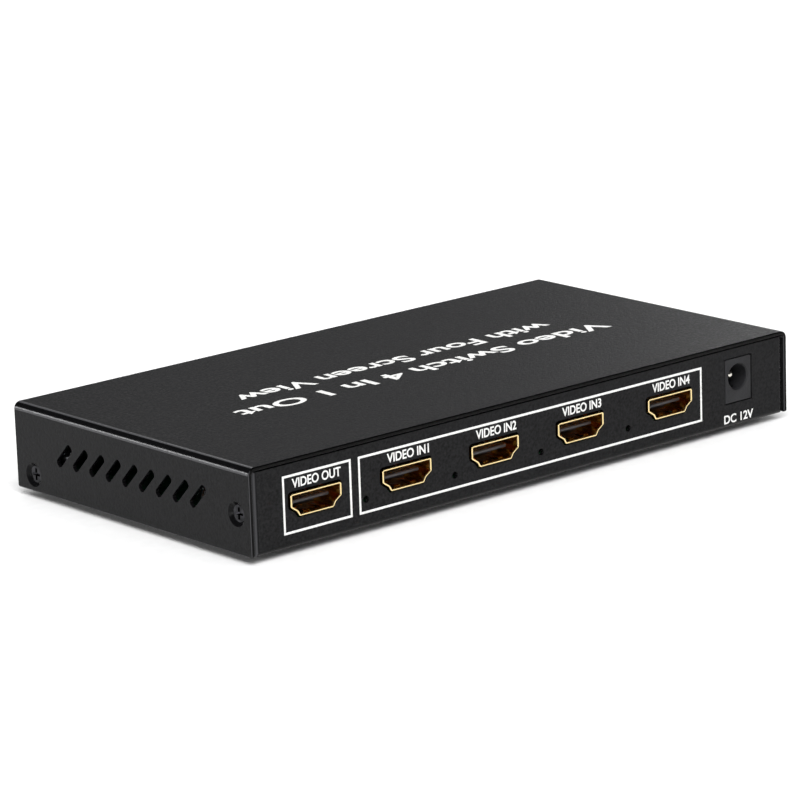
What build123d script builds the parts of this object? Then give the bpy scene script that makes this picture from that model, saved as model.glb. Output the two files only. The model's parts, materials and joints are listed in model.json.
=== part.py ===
from build123d import *
import os

# A four-input video switch in a folded steel box. Millimetres, +Z up.
# X runs along the panels, the port panel faces -Y and the control panel faces +Y.
# The origin is under the middle of the whole part, on the surface that its feet stand on.

# Steel box
WIDTH = 174.0
DEPTH = 89.5
HEIGHT = 21.4
SHEET = 1.0
COVER_BEND = 1.8
CHASSIS_BEND = 1.5
SEAM = 0.35
PANEL_INSET = 0.3
COVER_LIFT = 0.3
COVER_CORNER = 0.6
COVER_EDGE_ROUND = 0.3
FLANGE_ROUND = 1.2
FLANGE_LENGTH = 11.0
CONTROL_TAB_LENGTH = 10.5
CONTROL_TAB_HEIGHT = 9.0

# What stands out past the two ends of the cover
SHELL_PROUD = 0.2
BUTTON_PROUD = 1.2

# Feet
FOOT_HEIGHT = 1.5
FOOT_RADIUS = 5.0
FOOT_EDGE_ROUND = 0.5
FOOT_X = 72.0
FOOT_FROM_END = 12.0

# Vent slots, the same on both sides
SLOT_COUNT = 9
SLOT_PITCH = 6.38
SLOT_LENGTH = 7.5
SLOT_WIDTH = 2.2
SLOT_CORNER = 0.85
SLOT_TILT = 45.0
SLOT_SHIFT = -0.4
SLOT_HEIGHT = 11.4

# Cover screws: distance from the end of the cover, and height above the underside of the box
PORT_SCREW = (5.0, 9.9)
CONTROL_SCREW = (6.7, 4.4)
DIMPLE_RADIUS = 2.95
DIMPLE_HOLE_RADIUS = 1.65
DIMPLE_DEPTH = DIMPLE_RADIUS - DIMPLE_HOLE_RADIUS
DIMPLE_BACK_RADIUS = 3.3
DIMPLE_BACK_HEIGHT = 0.6
DIMPLE_SEAT_RADIUS = 3.1
DIMPLE_SEAT_DEPTH = 0.4
COLLAR_RADIUS = 2.6
COLLAR_HEIGHT = 1.0
SCREW_HEAD_RADIUS = 2.05
SCREW_HEAD_SUNK = 0.8
SCREW_SHANK_RADIUS = 1.45
SCREW_TIP = 5.4
THREAD_HOLE_RADIUS = 1.5
RECESS_LENGTH = 2.9
RECESS_WIDTH = 0.7
RECESS_DEPTH = 0.9

# Circuit board; heights are above the underside of the box
BOARD_TOP = 6.35
BOARD_THICKNESS = 1.6
BOARD_HALF_WIDTH = 81.0
BOARD_END_GAP = 1.9
BOARD_HOLE_X = 77.5
PORT_BOARD_HOLE = 20.0
CONTROL_BOARD_HOLE = 8.0
BOARD_HOLE_RADIUS = 1.6
BOARD_CORNER = 1.0
STANDOFF_ACROSS_FLATS = 5.5
PAN_HEAD_RADIUS = 2.75
PAN_HEAD_HEIGHT = 1.9
PAN_HEAD_ROUND = 0.8
LEG_SLOT_HALF_X = 0.4
LEG_SLOT_HALF_Y = 0.85

# Video sockets
OUTPUT_X = -67.7
INPUT_X = (-40.2, -12.5, 15.4, 45.6)
SOCKET_BOTTOM = 7.4
MOUTH_WIDTH = 15.1
MOUTH_HEIGHT = 5.6
MOUTH_WALL = 0.45
MOUTH_CORNER = 0.6
MOUTH_EDGE_ROUND = 0.15
MOUTH_GAP = 0.45
SHELL_DEPTH = 10.4
TONGUE_TIP = 2.8
TONGUE_HALF_WIDTH = 5.9
TONGUE_TOP = 3.05
TONGUE_BOTTOM = 2.25
INSULATOR_FRONT = 7.0
INSULATOR_BACK = 11.4
CONTACT_PITCH = 1.0
CONTACT_WIDTH = 0.3
CONTACT_THICKNESS = 0.13
LEG_DEPTHS = (3.6, 8.8)
LEG_WIDTH = 1.2
LEG_BELOW_BOARD = 0.5
ARM_X = 2.4
ARM_WIDTH = 1.5
ARM_ROOT = 5.4
ARM_CREST = 1.5
ARM_TIP = 0.95
ARM_THICKNESS = 0.3
ARM_WINDOW_HALF_WIDTH = 1.0
FLOOR_ARM_RISE = 0.5
ROOF_ARM_RISE = -0.45
SOLDER_FOOT = 1.1

# Indicator lights beside the inputs
PINHOLE_X = (-52.6, -25.1, 2.5, 31.5)
PINHOLE_HEIGHT = 6.95
PINHOLE_RADIUS = 0.85
PORT_LED_WIDTH = 2.0
PORT_LED_HEIGHT = 1.2
PORT_LED_DEPTH = 1.2
PORT_LENS_RADIUS = 0.5

# Direct-current power jack
JACK_X = 69.9
JACK_WIDTH = 9.0
JACK_HEIGHT = 11.1
JACK_DEPTH = 14.2
JACK_GAP = 0.3
JACK_BORE_RADIUS = 3.2
JACK_BORE_HEIGHT = 12.65
JACK_BORE_DEPTH = 11.0
JACK_PIN_RADIUS = 1.0
JACK_PIN_TIP = 2.3
JACK_SPRING_WIDTH = 2.0
JACK_SPRING_THICKNESS = 0.3
JACK_SPRING_LEG = 6.0
JACK_EDGE_ROUND = 0.4
JACK_LEG_SLOT_HALF_X = 1.5
JACK_LEG_SLOT_HALF_Y = 0.7

# Parts on the board; a depth is measured from the port end of the cover
PROCESSOR_X = 2.0
PROCESSOR_DEPTH = 51.0
PROCESSOR_SIZE = 27.0
PROCESSOR_HEIGHT = 2.2
PAD_HEIGHT = 0.5
PAD_INSET = 1.5
SINK_SIZE = 28.0
SINK_BASE = 2.0
SINK_HEIGHT = 8.0
FIN_COUNT = 9
FIN_THICKNESS = 1.1
CHIP_LIFT = 0.1
CHIP_SLOPE = 0.12
PIN_ONE_RADIUS = 0.3
PIN_ONE_SHARE = 0.16
VIDEO_CHIP_DEPTH = 24.0
VIDEO_CHIP_SIZE = (10.0, 10.0, 1.2)
MEMORY_X = (-24.0, -40.0)
MEMORY_DEPTH = 54.0
MEMORY_SIZE = (9.0, 13.5, 1.1)
FLASH_PLACE = (30.0, 48.0)
FLASH_SIZE = (5.0, 6.0, 1.5)
CONTROLLER_PLACE = (-56.0, 60.0)
CONTROLLER_SIZE = (9.0, 9.0, 1.2)
CRYSTAL_PLACE = (30.0, 64.0)
CRYSTAL_BASE = (11.0, 4.6, 0.5)
CRYSTAL_CAN = (10.2, 3.8, 3.0)
INDUCTOR_PLACE = (62.0, 34.0)
INDUCTOR_SIZE = 12.0
INDUCTOR_HEIGHT = 5.0
INDUCTOR_GROOVE = (3.9, 4.4, 0.4)
REGULATOR_PLACE = (46.0, 34.0)
REGULATOR_SIZE = (6.6, 6.0, 2.3)
REGULATOR_TAB = (5.2, 2.2, 0.5)
CAPACITOR_X = (48.0, 57.0, 66.0)
CAPACITOR_DEPTH = 50.0
CAPACITOR_BASE = (6.8, 6.8, 0.9)
CAPACITOR_RADIUS = 3.15
CAPACITOR_HEIGHT = 6.8
CAPACITOR_NECK_RADIUS = 2.85

# Control panel
CONTROL_AXIS = 10.35
SELECT_X = -44.0
MODE_X = -62.0
WINDOW_X = 50.0
POWER_LED_X = 64.0
BUTTON_RADIUS = 3.0
BUTTON_GAP = 0.3
BUTTON_TRAVEL = 0.5
PLUNGER_RADIUS = 1.7
LED_RADIUS = 1.5
WINDOW_RADIUS = 2.8
FLANGE_WIDER = 1.0
FLANGE_THICKNESS = 0.8
STEM_RADIUS = 2.5
COLLAR_WIDER = 0.45
SWITCH_HALF_WIDTH = 3.1
RECEIVER_HALF_WIDTH = 2.8
RECEIVER_LENS_RADIUS = 2.2
LED_HOLDER_HALF_WIDTH = 2.1

# Depths of the controls, measured back from the control end of the cover
FLANGE_FRONT = PANEL_INSET + SHEET + 0.05
FLANGE_BACK = FLANGE_FRONT + FLANGE_THICKNESS
STEM_BACK = 4.6
PLUNGER_FRONT = 3.5
SWITCH_FRONT = 6.0
COLLAR_FRONT = 6.7
PLUNGER_BACK = 7.6
SWITCH_CAVITY = PLUNGER_BACK + BUTTON_TRAVEL + 0.15
SWITCH_BACK = 9.6
RECEIVER_FRONT = 4.6
RECEIVER_BACK = 7.4
HOLDER_FRONT = 4.3
HOLDER_BACK = 7.0

# Heights and ends that follow from the sizes above
OVERALL_DEPTH = SHELL_PROUD + DEPTH + BUTTON_PROUD
PORT_END = SHELL_PROUD - OVERALL_DEPTH / 2
CONTROL_END = PORT_END + DEPTH
MIDDLE_Y = (PORT_END + CONTROL_END) / 2
UNDERSIDE = FOOT_HEIGHT
FLOOR_TOP = UNDERSIDE + SHEET
BOARD_UPPER = UNDERSIDE + BOARD_TOP
BOARD_LOWER = BOARD_UPPER - BOARD_THICKNESS
PORT_FACE = PORT_END + PANEL_INSET
CONTROL_FACE = CONTROL_END - PANEL_INSET
CHASSIS_HALF_WIDTH = WIDTH / 2 - SHEET - SEAM
SHELL_FACE = PORT_END - SHELL_PROUD
SHELL_BASE = UNDERSIDE + SOCKET_BOTTOM
PROCESSOR_Y = PORT_END + PROCESSOR_DEPTH
SIDES = (-1, 1)


# ---- helpers -------------------------------------------------------------------------------

def block(x0, x1, y0, y1, z0, z1):
    """Box between two opposite corners."""
    size = Box(x1 - x0, y1 - y0, z1 - z0)
    return Pos((x0 + x1) / 2, (y0 + y1) / 2, (z0 + z1) / 2) * size


def upright(radius, x, y, z0, z1):
    """Cylinder along Z between two heights."""
    return Pos(x, y, (z0 + z1) / 2) * Cylinder(radius, z1 - z0)


def lengthwise(radius, x, z, y0, y1):
    """Cylinder along Y between two depths."""
    return Pos(x, (y0 + y1) / 2, z) * Rot(90, 0, 0) * Cylinder(radius, y1 - y0)


def along_depth(outline, y0, y1):
    """Solid whose section is an outline drawn in X and Z, between two depths."""
    return Pos(0, y0, 0) * extrude(Plane.XZ * outline, y1 - y0, dir=(0, 1, 0))


def strip(points, x, width):
    """Flat strip seen from its side: its edge is drawn in Y and Z, its width is along X."""
    edge = make_face(Polyline(*[(0, y, z) for y, z in points], close=True))
    return Pos(x - width / 2, 0, 0) * extrude(edge, width, dir=(1, 0, 0))


def frustum(outer_radius, inner_radius, outer, inner):
    """Cone along local Z, from one radius at height outer to another at height inner below it."""
    return Pos(0, 0, (outer + inner) / 2) * Cone(inner_radius, outer_radius, outer - inner)


def screw_places():
    """Plane of each cover screw; it lies on the cover and faces outwards."""
    for side in SIDES:
        for y, height in (
            (PORT_END + PORT_SCREW[0], PORT_SCREW[1]),
            (CONTROL_END - CONTROL_SCREW[0], CONTROL_SCREW[1]),
        ):
            origin = (side * WIDTH / 2, y, UNDERSIDE + height)
            yield Plane(origin=origin, x_dir=(0, 1, 0), z_dir=(side, 0, 0))


def board_hole_places():
    """X and Y of the four board screws."""
    for side in SIDES:
        yield side * BOARD_HOLE_X, PORT_END + PORT_BOARD_HOLE
        yield side * BOARD_HOLE_X, CONTROL_END - CONTROL_BOARD_HOLE


def save(shape, node):
    """Write one sub-part."""
    export_step(shape, "parts/" + node + ".step")


# ---- folded steel box ----------------------------------------------------------------------

def folded_channel(span, length, height, bend):
    """Sheet folded to a U that opens downwards: its span is along X and its folds along Y."""
    outside = Pos(0, 0, height / 2) * Box(span, length, height)
    outside = fillet(outside.edges().filter_by(Axis.Y).group_by(Axis.Z)[-1], bend)
    hollow = Pos(0, 0, height / 2 - SHEET) * Box(span - 2 * SHEET, length, height)
    hollow = fillet(hollow.edges().filter_by(Axis.Y).group_by(Axis.Z)[-1], bend - SHEET)
    return outside - hollow


def vent_slots():
    """Row of slanted slots, long enough along X to pass through both side walls."""
    slot = Rot(0, 0, 90 + SLOT_TILT) * RectangleRounded(SLOT_LENGTH, SLOT_WIDTH, SLOT_CORNER)
    cutter = extrude(Plane.YZ * slot, WIDTH, both=True)
    first = MIDDLE_Y + SLOT_SHIFT - SLOT_PITCH * (SLOT_COUNT - 1) / 2
    height = UNDERSIDE + SLOT_HEIGHT
    return [Pos(0, first + SLOT_PITCH * i, height) * cutter for i in range(SLOT_COUNT)]


def top_cover():
    """Top and two sides in one folded sheet, with vent slots and pressed screw dimples."""
    base = UNDERSIDE + COVER_LIFT
    cover = folded_channel(WIDTH, DEPTH, HEIGHT - COVER_LIFT, COVER_BEND)
    cover = fillet(cover.edges().filter_by(Axis.X).group_by(Axis.Z)[0], COVER_CORNER)
    for end in (cover.faces().sort_by(Axis.Y)[0], cover.faces().sort_by(Axis.Y)[-1]):
        cover = fillet(end.edges(), COVER_EDGE_ROUND)
    cover = Pos(0, MIDDLE_Y, base) * cover
    for slot in vent_slots():
        cover -= slot
    back_end = -SHEET - DIMPLE_BACK_HEIGHT
    dimple_back = frustum(DIMPLE_BACK_RADIUS, DIMPLE_BACK_RADIUS - 0.9, -SHEET, back_end)
    for plane in screw_places():
        cover += plane * dimple_back
        cover -= plane * frustum(DIMPLE_RADIUS, DIMPLE_HOLE_RADIUS, 0, -DIMPLE_DEPTH)
        cover -= plane * Cylinder(DIMPLE_HOLE_RADIUS, 6 * SHEET)
    return cover


def socket_outline(grow=0.0):
    """Mouth of a video socket in X and Z, its bottom at Z = 0, grown or shrunk all round."""
    half = MOUTH_WIDTH / 2
    corners = [
        (-half, MOUTH_HEIGHT),
        (half, MOUTH_HEIGHT),
        (half, 2.4),
        (half - 1.8, 1.2),
        (half - 2.5, 0),
        (2.5 - half, 0),
        (1.8 - half, 1.2),
        (-half, 2.4),
    ]
    outline = make_face(Polyline(*corners, close=True))
    outline = fillet(outline.vertices(), MOUTH_CORNER)
    if grow:
        outline = offset(outline, grow)
    return outline


def port_panel_cutters():
    """Everything that the port panel is punched for."""
    y0 = PORT_FACE - 1
    y1 = PORT_FACE + SHEET + 0.2
    mouth = along_depth(socket_outline(MOUTH_GAP), y0, y1)
    for x in (OUTPUT_X, *INPUT_X):
        yield Pos(x, 0, SHELL_BASE) * mouth
    for x in PINHOLE_X:
        yield lengthwise(PINHOLE_RADIUS, x, UNDERSIDE + PINHOLE_HEIGHT, y0, y1)
    half = JACK_WIDTH / 2 + JACK_GAP
    top = BOARD_UPPER + JACK_HEIGHT + JACK_GAP
    yield block(JACK_X - half, JACK_X + half, y0, y1, BOARD_UPPER - JACK_GAP, top)


def control_panel_cutters():
    """Everything that the control panel is punched for."""
    z = UNDERSIDE + CONTROL_AXIS
    y0 = CONTROL_FACE - SHEET - 0.2
    y1 = CONTROL_FACE + 1
    for x in (SELECT_X, MODE_X):
        yield lengthwise(BUTTON_RADIUS + BUTTON_GAP, x, z, y0, y1)
    yield lengthwise(WINDOW_RADIUS + 0.1, WINDOW_X, z, y0, y1)
    yield lengthwise(LED_RADIUS + 0.15, POWER_LED_X, z, y0, y1)


def corner_cutters():
    """What is cut from the four upright corners of the chassis to round them."""
    radius = FLANGE_ROUND
    z0 = UNDERSIDE - 1
    z1 = UNDERSIDE + HEIGHT
    for side in SIDES:
        for end, face in ((-1, PORT_FACE), (1, CONTROL_FACE)):
            corner_x = side * CHASSIS_HALF_WIDTH
            axis_x = corner_x - side * radius
            axis_y = face - end * radius
            x0, x1 = sorted((axis_x, corner_x + side))
            y0, y1 = sorted((axis_y, face + end))
            yield block(x0, x1, y0, y1, z0, z1) - upright(radius, axis_x, axis_y, z0, z1)


def chassis_flanges():
    """Flanges behind the port panel and tabs on the floor that take the cover screws."""
    panel_top = UNDERSIDE + HEIGHT - SHEET - SEAM
    tab_y = CONTROL_END - CONTROL_SCREW[0]
    tab_start = tab_y - CONTROL_TAB_LENGTH / 2
    tab_end = tab_y + CONTROL_TAB_LENGTH / 2
    tab_top = UNDERSIDE + CONTROL_TAB_HEIGHT
    flange_end = PORT_FACE + FLANGE_LENGTH
    for side in SIDES:
        outer = side * CHASSIS_HALF_WIDTH
        x0, x1 = sorted((outer, outer - side * SHEET))
        yield block(x0, x1, PORT_FACE, flange_end, UNDERSIDE + CHASSIS_BEND, panel_top)
        yield block(x0, x1, tab_start, tab_end, FLOOR_TOP - SHEET / 2, tab_top)


def base_chassis():
    """Floor and two panels in one folded sheet, with flanges and tabs for the cover screws."""
    span = CONTROL_FACE - PORT_FACE
    height = HEIGHT - SHEET - SEAM
    chassis = folded_channel(span, 2 * CHASSIS_HALF_WIDTH, height, CHASSIS_BEND)
    upside_down = Pos(0, 0, height) * Rot(0, 180, 0) * chassis
    chassis = Pos(0, MIDDLE_Y, UNDERSIDE) * Rot(0, 0, 90) * upside_down
    for flange in chassis_flanges():
        chassis += flange
    for corner in corner_cutters():
        chassis -= corner
    tab_face = -SHEET - SEAM
    collar = Pos(0, 0, tab_face - SHEET - COLLAR_HEIGHT / 2) * Cylinder(COLLAR_RADIUS, COLLAR_HEIGHT)
    seat_end = tab_face - DIMPLE_SEAT_DEPTH
    seat = frustum(DIMPLE_SEAT_RADIUS, DIMPLE_SEAT_RADIUS - 0.5, tab_face, seat_end)
    for plane in screw_places():
        chassis += plane * collar
        chassis -= plane * seat
        chassis -= plane * Pos(0, 0, tab_face - SHEET) * Cylinder(THREAD_HOLE_RADIUS, 4 * SHEET)
    for cutter in (*port_panel_cutters(), *control_panel_cutters()):
        chassis -= cutter
    return chassis


def cross_recess(length, width, depth):
    """Cross-shaped driver recess below local Z = 0, narrower at its bottom."""
    def bar(size_x, size_y):
        top = Plane.XY * Rectangle(size_x, size_y)
        bottom = Plane.XY.offset(-depth) * Rectangle(size_x * 0.45, size_y * 0.6)
        return loft(Sketch() + [top, bottom])
    return bar(length, width) + bar(width, length)


def cover_screw():
    """Countersunk screw along local Z; Z = 0 is the outside of the cover."""
    top = -SCREW_HEAD_SUNK
    neck = top - (SCREW_HEAD_RADIUS - SCREW_SHANK_RADIUS)
    screw = frustum(SCREW_HEAD_RADIUS, SCREW_SHANK_RADIUS, top, neck)
    screw += Pos(0, 0, (neck - SCREW_TIP) / 2) * Cylinder(SCREW_SHANK_RADIUS, neck + SCREW_TIP)
    return screw - Pos(0, 0, top) * cross_recess(RECESS_LENGTH, RECESS_WIDTH, RECESS_DEPTH)


def foot():
    """Round self-adhesive rubber foot, its underside at Z = 0."""
    pad = Pos(0, 0, FOOT_HEIGHT / 2) * Cylinder(FOOT_RADIUS, FOOT_HEIGHT)
    return fillet(pad.edges().group_by(Axis.Z)[0], FOOT_EDGE_ROUND)


# ---- circuit board and what holds it -------------------------------------------------------

def jack_leg_slots():
    """Board slots for the jack's pin leg and its spring leg."""
    x0 = JACK_X - JACK_LEG_SLOT_HALF_X
    x1 = JACK_X + JACK_LEG_SLOT_HALF_X
    half = JACK_LEG_SLOT_HALF_Y
    for y in (PORT_FACE + JACK_DEPTH + 0.5, PORT_FACE + JACK_SPRING_LEG):
        yield block(x0, x1, y - half, y + half, BOARD_LOWER - 1, BOARD_UPPER + 1)


def main_board():
    """Glass-fibre board, drilled for its screws and for the legs of what is soldered through it."""
    port_edge = PORT_END + BOARD_END_GAP
    control_edge = CONTROL_END - BOARD_END_GAP
    board = block(-BOARD_HALF_WIDTH, BOARD_HALF_WIDTH, port_edge, control_edge, BOARD_LOWER, BOARD_UPPER)
    board = fillet(board.edges().filter_by(Axis.Z), BOARD_CORNER)
    for x, y in board_hole_places():
        board -= upright(BOARD_HOLE_RADIUS, x, y, BOARD_LOWER - 1, BOARD_UPPER + 1)
    leg_x = MOUTH_WIDTH / 2 - MOUTH_WALL / 2
    for socket_x in (OUTPUT_X, *INPUT_X):
        for x in (socket_x - leg_x, socket_x + leg_x):
            for depth in LEG_DEPTHS:
                y = SHELL_FACE + depth
                y0 = y - LEG_SLOT_HALF_Y
                y1 = y + LEG_SLOT_HALF_Y
                x0 = x - LEG_SLOT_HALF_X
                x1 = x + LEG_SLOT_HALF_X
                board -= block(x0, x1, y0, y1, BOARD_LOWER - 1, BOARD_UPPER + 1)
    for slot in jack_leg_slots():
        board -= slot
    return board


def board_standoff(x, y):
    """Hexagonal standoff between floor and board, drilled right through."""
    hexagon = RegularPolygon(STANDOFF_ACROSS_FLATS / 2, 6, major_radius=False)
    post = Pos(x, y, FLOOR_TOP) * extrude(hexagon, BOARD_LOWER - FLOOR_TOP)
    return post - upright(THREAD_HOLE_RADIUS, x, y, FLOOR_TOP - 1, BOARD_LOWER + 1)


def board_screw(x, y):
    """Pan-head screw through the board into a standoff."""
    head_top = BOARD_UPPER + PAN_HEAD_HEIGHT
    head = upright(PAN_HEAD_RADIUS, x, y, BOARD_UPPER, head_top)
    head = fillet(head.edges().group_by(Axis.Z)[-1], PAN_HEAD_ROUND)
    screw = head + upright(SCREW_SHANK_RADIUS, x, y, FLOOR_TOP + 0.3, BOARD_UPPER)
    recess = cross_recess(RECESS_LENGTH, RECESS_WIDTH, RECESS_DEPTH)
    return screw - Pos(x, y, head_top) * recess


# ---- video sockets -------------------------------------------------------------------------
# A socket is drawn with its middle at X = 0 and the bottom of its shell at Z = 0.

BOARD_UNDER_SOCKET = BOARD_UPPER - SHELL_BASE


def spring_arm(x, floor, rise):
    """Sprung arm of the shell: rooted at its back, its free end bent towards the plug."""
    root = SHELL_FACE + ARM_ROOT
    crest = SHELL_FACE + ARM_CREST
    tip = SHELL_FACE + ARM_TIP
    thick = ARM_THICKNESS if rise > 0 else -ARM_THICKNESS
    lower = [(root, floor), (crest, floor + rise), (tip, floor + rise * 0.6)]
    upper = [(y, z + thick) for y, z in reversed(lower)]
    return strip(lower + upper, x, ARM_WIDTH)


def video_shell():
    """Drawn steel mouth with sprung arms in its floor and roof, on four soldered legs."""
    y1 = SHELL_FACE + SHELL_DEPTH
    shell = along_depth(socket_outline(), SHELL_FACE, y1)
    shell -= along_depth(socket_outline(-MOUTH_WALL), SHELL_FACE - 1, y1 + 1)
    shell = fillet(shell.faces().sort_by(Axis.Y)[0].edges(), MOUTH_EDGE_ROUND)
    window_start = SHELL_FACE + ARM_TIP - 0.3
    window_end = SHELL_FACE + ARM_ROOT
    for x in (-ARM_X, ARM_X):
        x0 = x - ARM_WINDOW_HALF_WIDTH
        x1 = x + ARM_WINDOW_HALF_WIDTH
        for z in (MOUTH_WALL / 2, MOUTH_HEIGHT - MOUTH_WALL / 2):
            shell -= block(x0, x1, window_start, window_end, z - 0.5, z + 0.5)
        shell += spring_arm(x, 0.1, FLOOR_ARM_RISE)
        shell += spring_arm(x, MOUTH_HEIGHT - 0.1, ROOF_ARM_RISE)
    foot_z = BOARD_UNDER_SOCKET - BOARD_THICKNESS - LEG_BELOW_BOARD
    for side in SIDES:
        x0, x1 = sorted((side * MOUTH_WIDTH / 2, side * (MOUTH_WIDTH / 2 - MOUTH_WALL)))
        for depth in LEG_DEPTHS:
            y = SHELL_FACE + depth
            shell += block(x0, x1, y - LEG_WIDTH / 2, y + LEG_WIDTH / 2, foot_z, MOUTH_HEIGHT / 2 + 0.2)
    return shell


def contact(x, z, below):
    """One contact: a strip along the tongue, then down behind the insulator to its solder foot."""
    thick = CONTACT_THICKNESS
    front = SHELL_FACE + TONGUE_TIP + 0.35
    back = SHELL_FACE + INSULATOR_BACK
    board = BOARD_UNDER_SOCKET
    top = z + thick if below else z
    points = [
        (front, top - thick),
        (back, top - thick),
        (back, board),
        (back + SOLDER_FOOT, board),
        (back + SOLDER_FOOT, board + thick),
        (back + thick, board + thick),
        (back + thick, top),
        (front, top),
    ]
    return strip(points, x, CONTACT_WIDTH)


def video_contacts():
    """Ten contacts on top of the tongue and nine under it, half a pitch apart."""
    upper = [contact(CONTACT_PITCH * (i - 4.5), TONGUE_TOP, False) for i in range(10)]
    lower = [contact(CONTACT_PITCH * (i - 4), TONGUE_BOTTOM, True) for i in range(9)]
    return upper + lower


def video_insulator(contacts):
    """Moulded block that closes the shell's back and carries the tongue."""
    front = SHELL_FACE + INSULATOR_FRONT
    shell_end = SHELL_FACE + SHELL_DEPTH
    back = SHELL_FACE + INSULATOR_BACK
    half = MOUTH_WIDTH / 2 - 0.1
    body = along_depth(socket_outline(-MOUTH_WALL - 0.05), front, shell_end + 0.05)
    body += block(-half, half, shell_end + 0.05, back, BOARD_UNDER_SOCKET, MOUTH_HEIGHT - 0.1)
    tip = SHELL_FACE + TONGUE_TIP
    wide = TONGUE_HALF_WIDTH
    tongue = block(-wide, wide, tip, front, TONGUE_BOTTOM, TONGUE_TOP)
    body += chamfer(tongue.edges().filter_by(Axis.X).group_by(Axis.Y)[0], 0.2)
    for strip_solid in contacts:
        body -= strip_solid
    return body


# ---- power jack and port lights ------------------------------------------------------------

def power_jack_body():
    """Moulded jack with a round bore, open at its front; its bottom stands on the board."""
    y0 = PORT_FACE + 0.1
    y1 = y0 + JACK_DEPTH
    z = UNDERSIDE + JACK_BORE_HEIGHT
    half = JACK_WIDTH / 2
    body = block(JACK_X - half, JACK_X + half, y0, y1, BOARD_UPPER, BOARD_UPPER + JACK_HEIGHT)
    body = fillet(body.edges().filter_by(Axis.Y).group_by(Axis.Z)[-1], JACK_EDGE_ROUND)
    body -= lengthwise(JACK_BORE_RADIUS, JACK_X, z, y0 - 1, y0 + JACK_BORE_DEPTH)
    lead_in = frustum(JACK_BORE_RADIUS + 0.3, JACK_BORE_RADIUS, 0, -0.3)
    body -= Pos(JACK_X, y0, z) * Rot(90, 0, 0) * lead_in
    body -= lengthwise(JACK_PIN_RADIUS + 0.03, JACK_X, z, y0, y1 + 1)
    slot_half = JACK_SPRING_WIDTH / 2 + 0.1
    slot_x0 = JACK_X - slot_half
    slot_x1 = JACK_X + slot_half
    bore_floor = z - JACK_BORE_RADIUS
    y_leg = PORT_FACE + JACK_SPRING_LEG
    body -= block(slot_x0, slot_x1, y_leg - 3.5, y0 + JACK_BORE_DEPTH - 1, bore_floor - 0.9, z)
    body -= block(slot_x0, slot_x1, y_leg - 0.5, y_leg + 0.5, BOARD_UPPER - 1, z)
    return body


def power_jack_pin():
    """Centre pin with a round nose, riveted through the back wall to its solder leg."""
    y_tip = PORT_FACE + 0.1 + JACK_PIN_TIP
    y_back = PORT_FACE + 0.1 + JACK_DEPTH
    z = UNDERSIDE + JACK_BORE_HEIGHT
    pin = lengthwise(JACK_PIN_RADIUS, JACK_X, z, y_tip, y_back + 0.1)
    pin = fillet(pin.edges().group_by(Axis.Y)[0], JACK_PIN_RADIUS * 0.8)
    foot_z = BOARD_LOWER - 0.6
    leg = block(JACK_X - 1.2, JACK_X + 1.2, y_back + 0.05, y_back + 0.75, foot_z, z + 2.0)
    return pin + leg


def power_jack_spring():
    """Side contact: a bowed strip along the floor of the bore, with a leg into the board."""
    z = UNDERSIDE + JACK_BORE_HEIGHT - JACK_BORE_RADIUS
    y_leg = PORT_FACE + JACK_SPRING_LEG
    crest = [
        (y_leg - 3.0, z - 0.5),
        (y_leg - 2.0, z + 0.35),
        (y_leg + 1.0, z - 0.1),
        (y_leg + 3.8, z - 0.5),
    ]
    under = [(y, height - JACK_SPRING_THICKNESS) for y, height in reversed(crest)]
    spring = strip(crest + under, JACK_X, JACK_SPRING_WIDTH)
    return spring + block(JACK_X - 1, JACK_X + 1, y_leg - 0.3, y_leg + 0.1, BOARD_LOWER - 0.6, z - 0.2)


def port_led(x):
    """Side-looking surface light behind a pinhole: a lens on a white base."""
    lens_front = PORT_END + BOARD_END_GAP + 0.1
    base_front = lens_front + 0.5
    base_back = base_front + PORT_LED_DEPTH
    half = PORT_LED_WIDTH / 2
    base = block(x - half, x + half, base_front, base_back, BOARD_UPPER, BOARD_UPPER + PORT_LED_HEIGHT)
    axis = BOARD_UPPER + PORT_LED_HEIGHT / 2
    lens = lengthwise(PORT_LENS_RADIUS, x, axis, lens_front, base_front + 0.1)
    return base + fillet(lens.edges().group_by(Axis.Y)[0], 0.3)


# ---- parts on the board --------------------------------------------------------------------

def on_board(x, depth, size_x, size_y, height, lift=0.0):
    """Block on the board; its depth is that of its middle, from the port end of the cover."""
    y = PORT_END + depth
    z0 = BOARD_UPPER + lift
    return block(x - size_x / 2, x + size_x / 2, y - size_y / 2, y + size_y / 2, z0, z0 + height)


def flat_chip(x, depth, size_x, size_y, height, lift=CHIP_LIFT):
    """Moulded chip with sloped sides, split at mid-height, and a dimple that marks pin one."""
    body = on_board(x, depth, size_x, size_y, height, lift)
    body = chamfer(body.edges().group_by(Axis.Z)[-1], height / 2, CHIP_SLOPE)
    dot_x = x - size_x * (0.5 - PIN_ONE_SHARE)
    dot_y = PORT_END + depth - size_y * (0.5 - PIN_ONE_SHARE)
    top = BOARD_UPPER + lift + height
    return body - upright(PIN_ONE_RADIUS, dot_x, dot_y, top - 0.1, top + 1)


def thermal_pad():
    """Soft pad that fills the space between processor and heat sink."""
    z0 = BOARD_UPPER + PROCESSOR_HEIGHT
    half = PROCESSOR_SIZE / 2 - PAD_INSET
    pad = block(-half, half, -half, half, z0, z0 + PAD_HEIGHT)
    return Pos(PROCESSOR_X, PROCESSOR_Y, 0) * fillet(pad.edges().filter_by(Axis.Z), 1.0)


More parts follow.
